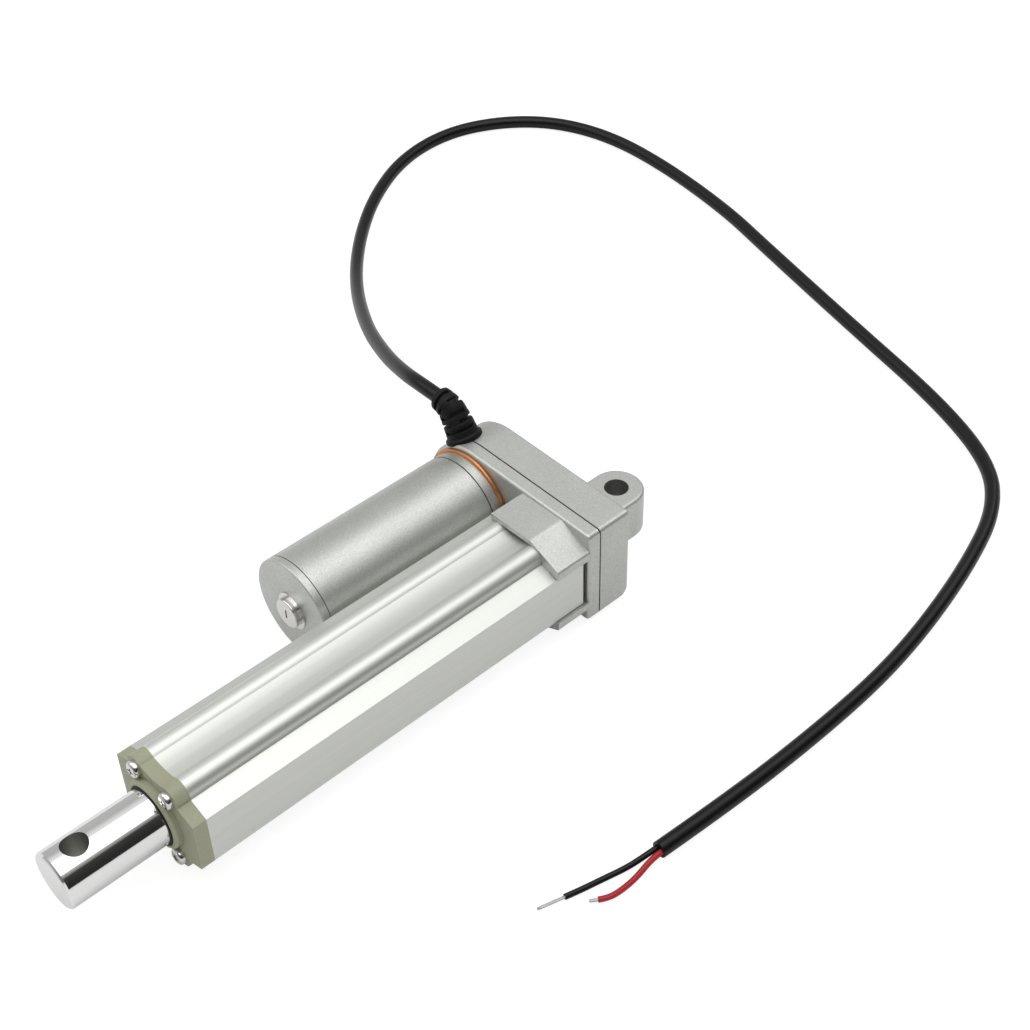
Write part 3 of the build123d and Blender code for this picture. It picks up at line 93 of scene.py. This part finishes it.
def round_curve(name, steps_round, steps_along):
    """An empty curve whose lines come out round, with closed ends."""
    curve = bpy.data.curves.new(name, "CURVE")
    curve.dimensions = "3D"
    curve.bevel_depth = 1.0
    curve.bevel_resolution = steps_round
    curve.resolution_u = steps_along
    curve.use_fill_caps = True
    return curve


def add_line(curve, points, radius):
    """Adds one smooth line that the points, in millimetres, pull along."""
    spline = curve.splines.new("NURBS")
    spline.points.add(len(points) - 1)
    for control, point in zip(spline.points, points):
        control.co = (*(Vector(point) * MM), 1.0)
        control.radius = radius * MM
    spline.order_u = 3
    spline.use_endpoint_u = True


def soft_line(name, points, radius, body="frame"):
    """A round cable along one smooth line."""
    curve = round_curve(name, 6, 12)
    add_line(curve, points, radius)
    piece = bpy.data.objects.new(name, curve)
    bpy.context.scene.collection.objects.link(piece)
    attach(piece, body)
    return piece


def line_length(points):
    """The length of the smooth line that these points make, measured on a bare copy."""
    copy = soft_line("measure", points, 0.0)
    mesh = bpy.data.meshes.new_from_object(copy)
    places = [vertex.co.copy() for vertex in mesh.vertices]
    bpy.data.objects.remove(copy)
    bpy.data.meshes.remove(mesh)
    return places, sum((b - a).length for a, b in zip(places, places[1:]))


# %% The cord's route over the table
SURFACE_Z = -19.5
SHEATH_R = 2.6
CORD_Z = SURFACE_Z + SHEATH_R
BOOT_ANGLE = math.radians(62)
BOOT_FOOT = Vector((25.0, -36.0, 0.0))
CORD_INNER_END = 15.3
BOOT_SEAT = 19.5
boot_out = Vector((0, -math.cos(BOOT_ANGLE), math.sin(BOOT_ANGLE)))
boot_half = Vector((0, -math.cos(BOOT_ANGLE / 2), math.sin(BOOT_ANGLE / 2)))
boot_inner = BOOT_FOOT + boot_out * CORD_INNER_END
boot_wall = BOOT_FOOT + boot_out * BOOT_SEAT
boot_low_bend = boot_wall + boot_out * 8.0
boot_high_bend = boot_low_bend + boot_half * 5.4
cord_points = [
    boot_inner, boot_low_bend, boot_high_bend,
    (24.4, -67.5, 26.6), (21.4, -78.5, 23.0), (12.9, -99.4, 14.5), (-3.3, -131.4, 2.0),
    (-29.5, -171.6, -12.0), (-55.2, -201.1, CORD_Z), (-80.6, -222.0, CORD_Z),
    (-109.1, -237.0, CORD_Z), (-137.4, -240.0, CORD_Z), (-161.2, -230.3, CORD_Z),
    (-178.6, -212.1, CORD_Z), (-186.9, -185.1, CORD_Z), (-185.3, -149.8, CORD_Z),
    (-177.8, -109.1, CORD_Z), (-168.4, -79.2, CORD_Z), (-150.6, -19.5, CORD_Z),
    (-136.4, 30.6, CORD_Z), (-121.2, 63.0, CORD_Z), (-102.5, 78.0, CORD_Z),
    (-76.2, 87.0, CORD_Z), (-44.6, 94.3, CORD_Z), (-15.2, 98.4, CORD_Z),
    (18.0, 99.3, CORD_Z), (52.0, 98.4, CORD_Z), (80.6, 96.2, CORD_Z),
]
cord = soft_line("cord", cord_points, SHEATH_R)
cord_places, cord_length = line_length(cord_points)
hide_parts("cable_sheath")
print("cord", round(cord_length * 1000), "mm")

# %% [markdown]
# ## Wires
# Two thin insulated wires come out of the cord's cut end, a black one that runs on almost
# straight and a red one that curls back at its tip. They are made as the cord is, only
# thinner, and start side by side in its end face.

# %% The two wires
WIRE_R = 0.9
WIRE_GAP = 0.1
WIRE_Z = SURFACE_Z + WIRE_R
cord_end = Vector(cord_points[-1])
end_way = (cord_end - Vector(cord_points[-2])).normalized()
apart = Vector((-end_way.y, end_way.x, 0)) * (WIRE_R + WIRE_GAP / 2)
black_points = [
    cord_end - apart, cord_end - apart + end_way * 3.4, (90.2, 93.4, WIRE_Z),
    (98.8, 91.2, WIRE_Z), (105.0, 89.7, WIRE_Z), (109.8, 88.3, WIRE_Z),
]
red_points = [
    cord_end + apart, cord_end + apart + end_way * 3.4, (91.0, 97.5, WIRE_Z),
    (97.0, 97.6, WIRE_Z), (101.4, 96.9, WIRE_Z), (103.8, 95.3, WIRE_Z),
]
black_lead = soft_line("black_lead", black_points, WIRE_R)
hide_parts("black_wire")
red_lead = soft_line("red_lead", red_points, WIRE_R)
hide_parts("red_wire")
black_places, black_length = line_length(black_points)
red_places, red_length = line_length(red_points)
print("leads", round(black_length * 1000, 1), round(red_length * 1000, 1), "mm")

# %% [markdown]
# ## Strands
# Each wire ends in a few millimetres of bare, tinned copper. It is really a bundle of fine
# strands with a slight twist, so one curve object holds a straight core and six strands that
# wind round it. Their ends are a little uneven, as cut strands are.

# %% Bare strands
STRAND_R = 0.17
STRANDS = 6
STRAND_TURN = 7.0
STRAND_STEPS = 11


def twisted_strands(name, start, way, length, node):
    """A bundle of fine strands from start, in millimetres, along way."""
    curve = round_curve(name, 3, 6)
    side = way.cross(Vector((0, 0, 1))).normalized()
    rise = side.cross(way)
    for index in range(STRANDS + 1):
        reach = 0.0 if index == STRANDS else STRAND_R * 2.0
        own_length = length * (1 - 0.05 * (index % 3))
        points = []
        for step in range(STRAND_STEPS + 1):
            along = own_length * step / STRAND_STEPS
            angle = 2 * math.pi * (index / STRANDS + along / STRAND_TURN)
            outwards = side * math.cos(angle) + rise * math.sin(angle)
            points.append(start + way * along + outwards * reach)
        add_line(curve, points, STRAND_R)
    piece = bpy.data.objects.new(name, curve)
    bpy.context.scene.collection.objects.link(piece)
    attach(piece, "frame")
    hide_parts(node)
    return piece


def end_of(points):
    """The last point of a route and the way it points there."""
    last, before = Vector(points[-1]), Vector(points[-2])
    return last, (last - before).normalized()


black_strands = twisted_strands("black_strands", *end_of(black_points), 8.5, "black_wire_strands")
red_strands = twisted_strands("red_strands", *end_of(red_points), 2.6, "red_wire_strands")
print("strands", len(black_strands.data.splines), "in each bundle")

# %% [markdown]

# %% [markdown]
# ## Boot
# The black rubber boot keeps the cord from kinking where it leaves the box. It tapers, and
# slots cut into it leave ribs that are joined by short webs, so that it can bend. Its outline
# is drawn once, as radius against length, and spun into a straight boot. Then every ring is
# laid along the cord's own line, which bends it as a Curve modifier would, but leaves no live
# modifier.

# %% Boot outline
# Each pair is a place along the boot and the radius there, in millimetres.
SLOTS = 5
SLOT_START = 7.0
SLOT_STEP = 2.55
SLOT_WIDTH = 1.1
SLOT_DEPTH = 1.05
WEB_HALF = 22
FIRST_WEB = 45
WEB_STEP = 90
outline = [(0.0, 2.65), (0.0, 4.0), (1.4, 4.0), (1.8, 3.3), (3.2, 3.3), (3.3, 5.9), (3.6, 6.2),
           (4.7, 6.2), (5.0, 5.9), (5.3, 5.4)]
for slot in range(SLOTS):
    foot = SLOT_START + slot * SLOT_STEP
    radius = 5.3 - slot * 0.24
    outline += [(foot - 0.15, radius), (foot, radius - 0.15), (foot + 0.1, radius - SLOT_DEPTH),
                (foot + SLOT_WIDTH - 0.1, radius - SLOT_DEPTH), (foot + SLOT_WIDTH, radius - 0.25),
                (foot + SLOT_WIDTH + 0.15, radius - 0.1)]
outline += [(19.7, 4.15), (20.0, 3.9), (20.1, 3.5), (20.1, 2.65)]
print("boot outline", len(outline), "points")

# %% Boot spun and slotted
shell = bmesh.new()
profile = [shell.verts.new((radius, 0, along)) for along, radius in outline]
edges = [shell.edges.new(pair) for pair in zip(profile, profile[1:])]
bmesh.ops.spin(shell, geom=profile + edges, cent=(0, 0, 0), axis=(0, 0, 1),
               angle=2 * math.pi, steps=72, use_merge=True)
bmesh.ops.remove_doubles(shell, verts=shell.verts, dist=0.001)
for vertex in shell.verts:
    slot, along = divmod(vertex.co.z - SLOT_START, SLOT_STEP)
    turn = math.degrees(math.atan2(vertex.co.y, vertex.co.x)) + FIRST_WEB + WEB_STEP * slot
    on_web = abs((turn + 90) % 180 - 90) < WEB_HALF
    if 0 <= slot < SLOTS and 0.05 < along < SLOT_WIDTH - 0.05 and on_web:
        radius = math.hypot(vertex.co.x, vertex.co.y)
        grow = (radius + SLOT_DEPTH - 0.1) / radius
        vertex.co.x *= grow
        vertex.co.y *= grow
print("straight boot", len(shell.faces), "faces")


# %% Boot bent along the cord
def cord_place(along):
    """The point on the cord's line at a length in millimetres, and the way it points there."""
    walked = 0.0
    for here, there in zip(cord_places, cord_places[1:]):
        step = (there - here).length / MM
        if walked + step >= along:
            break
        walked += step
    way = (there - here).normalized()
    return here / MM + way * (along - walked), way


for vertex in shell.verts:
    spot, way = cord_place(vertex.co.z)
    across = Vector((1, 0, 0))
    rise = way.cross(across).normalized()
    vertex.co = (spot + across * vertex.co.x + rise * vertex.co.y) * MM
bmesh.ops.recalc_face_normals(shell, faces=shell.faces)
for face in shell.faces:
    face.smooth = True
for edge in shell.edges:
    edge.smooth = edge.calc_face_angle(0.0) < math.radians(40)
boot_mesh = bpy.data.meshes.new("boot")
shell.to_mesh(boot_mesh)
shell.free()
boot = bpy.data.objects.new("boot", boot_mesh)
bpy.context.scene.collection.objects.link(boot)
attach(boot, "frame")
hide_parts("cable_boot")
print("boot", len(boot_mesh.polygons), "faces")

# %% [markdown]
# ## Floor and light
# The actuator lies on white paper that curves up out of sight. A flat floor is enough here,
# because the camera looks down. Large soft lamps give broad reflections on the metal, and
# their size keeps the shadows faint. Each is turned by a matrix that points it at the middle
# of the object, as a Track To constraint would.

# %% Floor
floor_mesh = bpy.data.meshes.new("floor")
sheet = bmesh.new()
bmesh.ops.create_grid(sheet, x_segments=1, y_segments=1, size=3.0)
bmesh.ops.translate(sheet, verts=sheet.verts, vec=(0, 0, SURFACE_Z * MM))
sheet.to_mesh(floor_mesh)
sheet.free()
floor = bpy.data.objects.new("floor", floor_mesh)
bpy.context.scene.collection.objects.link(floor)
print("floor at", SURFACE_Z, "mm")


# %% Lamps
def soft_lamp(name, place, target, size, power):
    """A square lamp at place that faces target."""
    data = bpy.data.lights.new(name, "AREA")
    data.size = size
    data.energy = power
    lamp = bpy.data.objects.new(name, data)
    bpy.context.scene.collection.objects.link(lamp)
    way = Vector(place) - Vector(target)
    turn = way.to_track_quat("Z", "Y").to_matrix().to_4x4()
    lamp.matrix_world = Matrix.Translation(place) @ turn
    return lamp


middle = (0.06, -0.02, 0.0)
soft_lamp("lamp_over", (0.1, 0.1, 1.2), middle, 1.2, 6.5)
soft_lamp("lamp_left", (0.5, -0.8, 0.9), middle, 0.9, 2.5)
soft_lamp("lamp_back", (-0.9, 0.1, 0.9), middle, 0.8, 2.0)
bpy.context.scene.view_settings.view_transform = "Standard"
print("lamps", sorted(light.name for light in bpy.data.lights))

# %% [markdown]
# ## Sums on sockets
# A finish is a small calculation: noise, stretched or bent, mixed between two colours. Nodes
# placed one by one are hard to read back, so this class lets a socket take part in ordinary
# Python sums, and each sum adds its Math node. One method makes any other kind of node.


# %% A socket that does sums
class Signal:
    """A socket in a material's node tree."""

    def __init__(self, tree, socket=None):
        self.tree = tree
        self.socket = socket

    def node(self, kind, settings=None, inputs=None, output=0, stops=None):
        """Adds a node, settles its settings and colour stops, then its inputs."""
        made = self.tree.nodes.new(kind)
        for name, value in (settings or {}).items():
            setattr(made, name, value)
        for index, (place, shade) in enumerate(stops or ()):
            elements = made.color_ramp.elements
            stop = elements[index] if index < 2 else elements.new(place)
            stop.position = place
            stop.color = (shade, shade, shade, 1)
        for name, value in (inputs or {}).items():
            if isinstance(value, Signal):
                self.tree.links.new(value.socket, made.inputs[name])
            else:
                made.inputs[name].default_value = value
        return Signal(self.tree, made.outputs[output]) if len(made.outputs) else None

    def maths(self, operation, first, second):
        """Adds a Math node on two values."""
        return self.node("ShaderNodeMath", {"operation": operation}, {0: first, 1: second})

    def __add__(self, other):
        return self.maths("ADD", self, other)

    __radd__ = __add__

    def __mul__(self, other):
        return self.maths("MULTIPLY", self, other)

    __rmul__ = __mul__

    def __sub__(self, other):
        return self.maths("SUBTRACT", self, other)

    def __rsub__(self, other):
        return self.maths("SUBTRACT", other, self)


# %% [markdown]
# ## Patterns and finishes
# Every finish starts from the same few parts: coordinates that stay on the object when it
# moves, smooth noise, a mix of two colours and the closing shader. They could be copied from
# one material to the next, but small helpers keep each finish down to what is special in it.
# A mounting hole's wall is found by its distance from the hole's axis.

# %% Helpers for patterns and finishes
HOLE_R = 4.05


def object_place(graph, scale=(1, 1, 1)):
    """Coordinates on the object itself, stretched along its axes."""
    place = graph.node("ShaderNodeTexCoord", output="Object")
    return graph.node("ShaderNodeMapping", inputs={"Vector": place, "Scale": scale})


def noise(graph, scale, stretch=(1, 1, 1), detail=3.0, rough=0.55):
    """Smooth noise between 0 and 1, with scale in waves per metre."""
    return graph.node("ShaderNodeTexNoise",
                      inputs={"Vector": object_place(graph, stretch), "Scale": scale,
                              "Detail": detail, "Roughness": rough})


def inside_bore(graph, x, y):
    """1 on the wall of an upright mounting hole whose axis is at x and y, 0 elsewhere. The
    finishes darken the colour there as painted shade of the hole.
    """
    place = graph.node("ShaderNodeVectorMath", {"operation": "MULTIPLY"},
                       {0: graph.node("ShaderNodeTexCoord", output="Object"), 1: (1, 1, 0)})
    far = graph.node("ShaderNodeVectorMath", {"operation": "DISTANCE"},
                     {0: place, 1: (x, y, 0)}, output="Value")
    return graph.maths("LESS_THAN", far, HOLE_R * MM)


def between(graph, amount, low, high):
    """The colour that lies amount of the way from low to high."""
    low, high = (shade if isinstance(shade, Signal) else (*shade, 1) for shade in (low, high))
    return graph.node("ShaderNodeMix", {"data_type": "RGBA"}, {0: amount, 6: low, 7: high},
                      output=2)


def new_finish(name):
    """An empty material and the graph to build it in."""
    material = bpy.data.materials.new(name)
    material.use_nodes = True
    material.node_tree.nodes.clear()
    return material, Signal(material.node_tree)


def close_finish(graph, bump=None, strength=0.2, distance=0.0001, **sockets):
    """Ends a graph in a surface shader, whose sockets take links or plain values."""
    inputs = {name.replace("_", " "): value for name, value in sockets.items()}
    if bump is not None:
        inputs["Normal"] = graph.node("ShaderNodeBump",
                                      inputs={"Height": bump, "Strength": strength,
                                              "Distance": distance})
    surface = graph.node("ShaderNodeBsdfPrincipled", inputs=inputs)
    graph.node("ShaderNodeOutputMaterial", inputs={"Surface": surface})


def wear(*names, finish):
    """Puts a finish on CAD nodes."""
    for name in names:
        slots = nodes[name].data.materials
        slots.clear()
        slots.append(finish)
    print(finish.name, "on", len(names), "pieces")


# %% [markdown]
# ## Silver paint
# The motor and the cast gearbox share a silver paint: a grey binder full of fine metal
# flakes. Small cells of a Voronoi pattern make flakes that differ in brightness and in gloss,
# and a slow noise keeps large faces from looking even. Inside the rear mounting hole the
# casting is bare, and its colour is darkened there as painted shade of the hole.

# %% Silver paint on the motor and the castings
def silver_paint(name, dark, light, flake, rough, bump_height):
    """A grey paint with flakes, as many per metre as flake says."""
    finish, graph = new_finish(name)
    flakes = graph.node("ShaderNodeTexVoronoi",
                        inputs={"Vector": object_place(graph), "Scale": flake}, output="Color")
    spark = graph.node("ShaderNodeSeparateColor", inputs={"Color": flakes}, output="Red")
    cloud = noise(graph, 60.0)
    level = spark * 0.6 + cloud * 0.4
    # Painted shade: inside the mounting hole the bare wall's colour is darkened, as the hole lies
    # in shade.
    bare_and_shade = inside_bore(graph, 0.0, 0.0)
    close_finish(graph, bump=noise(graph, flake * 0.5), strength=bump_height, distance=0.00005,
                 Base_Color=between(graph, bare_and_shade, between(graph, level, dark, light),
                                    (0.30, 0.30, 0.285)),
                 Roughness=rough - spark * 0.08, Metallic=0.7)
    return finish


motor_paint = silver_paint("motor_paint", (0.38, 0.39, 0.365), (0.66, 0.67, 0.64), 5200.0,
                           0.44, 0.32)
cast_paint = silver_paint("cast_paint", (0.42, 0.43, 0.405), (0.66, 0.67, 0.64), 4600.0,
                          0.48, 0.3)
wear("motor_can", "motor_end_cap", "motor_front_plate", finish=motor_paint)
wear("front_gear_housing", "rear_gear_housing", finish=cast_paint)

# %% [markdown]
# ## Anodised aluminium
# The tube is pressed through a die, which leaves faint lines along it, and is then anodised.
# Noise stretched along X gives those lines, in the brightness and the gloss.

# %% Anodised tube
tube_finish, graph = new_finish("anodised")
lines = noise(graph, 900.0, stretch=(0.01, 1, 1), detail=5.0, rough=0.6)
close_finish(graph, bump=lines, strength=0.06, distance=0.00003,
             Base_Color=between(graph, lines, (0.61, 0.62, 0.585), (0.725, 0.735, 0.70)),
             Roughness=0.40 + lines * 0.12, Metallic=0.8)
wear("outer_tube", finish=tube_finish)

# %% [markdown]
# ## Chrome and bright plating
# Chrome is nearly a mirror, so what it shows is the room. Only very faint, slow changes in
# gloss are added, as from wiping, and they keep the rod from looking like a drawing. Its end
# face is turned and its cross hole drilled, so both are duller, and the colour in the hole is
# darkened as painted shade. The screws and the motor's plug have a rougher bright plating.

# %% Chrome and plating
ROD_TIP_X = 0.2133
ROD_HOLE_X = 0.205
chrome, graph = new_finish("chrome")
wipe = noise(graph, 140.0, stretch=(0.3, 1, 1))
along = graph.node("ShaderNodeSeparateXYZ", inputs={"Vector": object_place(graph)}, output="X")
turned = graph.maths("GREATER_THAN", along, ROD_TIP_X)
drilled_and_shade = inside_bore(graph, ROD_HOLE_X, 0.0)
shine = between(graph, wipe, (0.74, 0.74, 0.725), (0.86, 0.86, 0.845))
# Painted shade: the colour in the drilled cross hole is darkened, as the hole lies in shade; its
# extra roughness is the drilled steel's own.
close_finish(graph, Base_Color=between(graph, drilled_and_shade, shine, (0.42, 0.42, 0.40)),
             Roughness=0.06 + wipe * 0.05 + turned * 0.28 + drilled_and_shade * 0.35, Metallic=1.0)
wear("push_rod", finish=chrome)

plating, graph = new_finish("plating")
grain = noise(graph, 1500.0)
close_finish(graph, bump=grain, strength=0.1, distance=0.00003,
             Base_Color=between(graph, grain, (0.60, 0.59, 0.57), (0.82, 0.81, 0.79)),
             Roughness=0.14 + grain * 0.12, Metallic=1.0)
wear("front_cap_screws", "housing_screws", "tube_screws", "motor_screws", "motor_rear_plug",
     finish=plating)


# %% [markdown]
# ## Plain finishes
# The other pieces need less: a base colour that drifts a little, a gloss that follows it and
# a fine bump. One helper makes them all, with the size of the grain as its main value.

# %% Plastics, rubber and inner metals
def plain(name, dark, light, rough, grain_scale, metal=0.0, bump_height=0.2, shine=0.5):
    """A finish between two colours, with grain_scale waves of grain per metre."""
    finish, graph = new_finish(name)
    drift = noise(graph, 45.0)
    grain = noise(graph, grain_scale)
    level = drift * 0.5 + grain * 0.5
    close_finish(graph, bump=grain, strength=bump_height, distance=0.00006,
                 Base_Color=between(graph, level, dark, light),
                 Roughness=(rough - 0.05) + grain * 0.1, Metallic=metal,
                 Specular_IOR_Level=shine)
    return finish


# %% The plain finishes
cap_plastic = plain("cap_plastic", (0.26, 0.268, 0.182), (0.42, 0.43, 0.305), 0.5, 1800.0)
rubber = plain("rubber", (0.003, 0.003, 0.003), (0.012, 0.012, 0.012), 0.55, 1400.0, shine=0.2)
bronze = plain("bronze", (0.32, 0.21, 0.09), (0.62, 0.45, 0.22), 0.42, 2500.0, metal=1.0)
steel = plain("ground_steel", (0.40, 0.40, 0.41), (0.68, 0.68, 0.69), 0.28, 1600.0, metal=1.0)
nylon = plain("nylon", (0.72, 0.70, 0.62), (0.88, 0.86, 0.79), 0.42, 900.0, bump_height=0.1)
ferrite = plain("ferrite", (0.03, 0.03, 0.032), (0.09, 0.09, 0.095), 0.6, 2200.0)
laminate = plain("laminate", (0.02, 0.10, 0.035), (0.04, 0.20, 0.07), 0.35, 1200.0)
carbon = plain("carbon", (0.02, 0.02, 0.02), (0.06, 0.06, 0.06), 0.5, 2000.0)
copper = plain("copper", (0.50, 0.19, 0.08), (0.80, 0.37, 0.20), 0.3, 1500.0, metal=1.0)
black_plastic = plain("black_plastic", (0.01, 0.01, 0.01), (0.03, 0.03, 0.03), 0.4, 1500.0)
red_plastic = plain("red_plastic", (0.40, 0.02, 0.015), (0.62, 0.05, 0.04), 0.35, 1500.0)
copper_seal = plain("copper_seal", (0.42, 0.15, 0.05), (0.72, 0.34, 0.15), 0.3, 700.0,
                    metal=0.8)
print("finishes so far", len(bpy.data.materials))

# %% Plain finishes on their pieces
wear("front_end_cap", finish=cap_plastic)
wear("rod_wiper_seal", "housing_gasket", "tube_gasket", "cable_boot", finish=rubber)
wear("rod_guide_bush", "bearing_cage", "screw_rear_bush", "motor_pinion", "motor_front_bush",
     "motor_rear_bush", finish=bronze)
wear("bearing_outer_ring", "bearing_inner_ring", "bearing_balls", "idler_axle", "idler_washers",
     "screw_gear_key", "screw_spacer", "lead_screw", "nut_pins", "brush_springs", "motor_shaft",
     "armature_core", finish=steel)
wear("idler_gear", "screw_gear", "drive_nut", finish=nylon)
wear("motor_magnets", finish=ferrite)
wear("brush_holder", "limit_switch_board", finish=laminate)
wear("carbon_brushes", finish=carbon)
wear("armature_windings", "commutator", finish=copper)
wear("rear_limit_switch", "front_limit_switch", "board_diodes", finish=black_plastic)
wear("rear_switch_plunger", "front_switch_plunger", finish=red_plastic)
wear("motor_seal_ring", finish=copper_seal)

# %% [markdown]
# ## Cable finishes
# The sheath and the wires are soft plastic with a low shine, and the bare strands are tinned
# copper. The curves and the boot get their materials here, and the frame's own cable pieces,
# which they stand in for, get the same ones.

# %% Insulation and tinned strands
sheath_finish = plain("sheath", (0.002, 0.002, 0.002), (0.008, 0.008, 0.008), 0.3, 900.0,
                      bump_height=0.08, shine=0.25)
black_insulation = plain("black_insulation", (0.003, 0.003, 0.003), (0.01, 0.01, 0.01), 0.3,
                         900.0, bump_height=0.08, shine=0.25)
red_insulation = plain("red_insulation", (0.30, 0.012, 0.02), (0.50, 0.03, 0.04), 0.3, 900.0,
                       bump_height=0.08, shine=0.3)
tinned = plain("tinned", (0.42, 0.42, 0.41), (0.75, 0.75, 0.74), 0.3, 3000.0, metal=1.0)
cord.data.materials.append(sheath_finish)
black_lead.data.materials.append(black_insulation)
red_lead.data.materials.append(red_insulation)
black_strands.data.materials.append(tinned)
red_strands.data.materials.append(tinned)
boot.data.materials.append(rubber)
wear("cable_sheath", "black_wire", finish=sheath_finish)
wear("red_wire", finish=red_insulation)
wear("black_wire_strands", "red_wire_strands", finish=tinned)

# %% [markdown]
# ## White paper
# A lamp bright enough to burn the paper out would burn out the metal too. So the paper is
# mixed with a white glow that only the camera sees, through Light Path, and the mix grows
# with the distance from the object. Close to it a part of the paper still shows, and with it
# the soft shadow.

# %% White paper for the floor
paper, graph = new_finish("paper")
tooth = noise(graph, 400.0)
seen = graph.node("ShaderNodeLightPath", output="Is Camera Ray")
fibres = between(graph, tooth, (0.90, 0.90, 0.90), (0.93, 0.93, 0.93))
plain_paper = graph.node("ShaderNodeBsdfDiffuse", inputs={"Color": fibres})
white = graph.node("ShaderNodeEmission", inputs={"Color": (1, 1, 1, 1), "Strength": 1.25})
away = graph.node("ShaderNodeVectorMath", {"operation": "LENGTH"},
                  {0: object_place(graph)}, output="Value")
fade = graph.node("ShaderNodeValToRGB", inputs={"Fac": away}, stops=[(0.35, 0.68), (0.9, 1.0)])
lit_paper = graph.node("ShaderNodeMixShader", inputs={0: seen * fade, 1: plain_paper, 2: white})
graph.node("ShaderNodeOutputMaterial", inputs={"Surface": lit_paper})
floor.data.materials.append(paper)
print("paper", len(paper.node_tree.nodes), "nodes")

# %% [markdown]
# ## Room
# The world is white to the camera and an even grey for soft light. Metal mirrors its
# surroundings, and a photographer's room is bright above and dark behind the camera. A ramp
# on the direction's Y gives those walls and a second one on Z the ceiling, for glossy rays
# only, and they make the dark and bright bands along the rod.

# %% A white room with a dark side for reflections
world = bpy.data.worlds.new("room")
bpy.context.scene.world = world
world.use_nodes = True
world.node_tree.nodes.clear()
room = Signal(world.node_tree)
seen = room.node("ShaderNodeLightPath", output="Is Camera Ray")
mirrored = room.node("ShaderNodeLightPath", output="Is Glossy Ray")
way = room.node("ShaderNodeTexCoord", output="Generated")
to_front = room.node("ShaderNodeSeparateXYZ", inputs={"Vector": way}, output="Y")
upward = room.node("ShaderNodeSeparateXYZ", inputs={"Vector": way}, output="Z")
walls = room.node("ShaderNodeValToRGB", inputs={"Fac": to_front * 0.5 + 0.5},
                  stops=[(0.0, 0.55), (0.45, 0.40), (0.66, 0.10), (1.0, 0.02)])
ceiling = room.node("ShaderNodeValToRGB", inputs={"Fac": upward},
                    stops=[(0.62, 0.0), (0.92, 1.0)])
shown = walls * (1 - ceiling) + ceiling
unseen = 0.5 * (1 - mirrored) + shown * mirrored
glow = room.node("ShaderNodeBackground",
                 inputs={"Color": (1, 1, 1, 1), "Strength": seen + unseen * (1 - seen)})
room.node("ShaderNodeOutputWorld", inputs={"Surface": glow})
print("room", len(world.node_tree.nodes), "nodes")
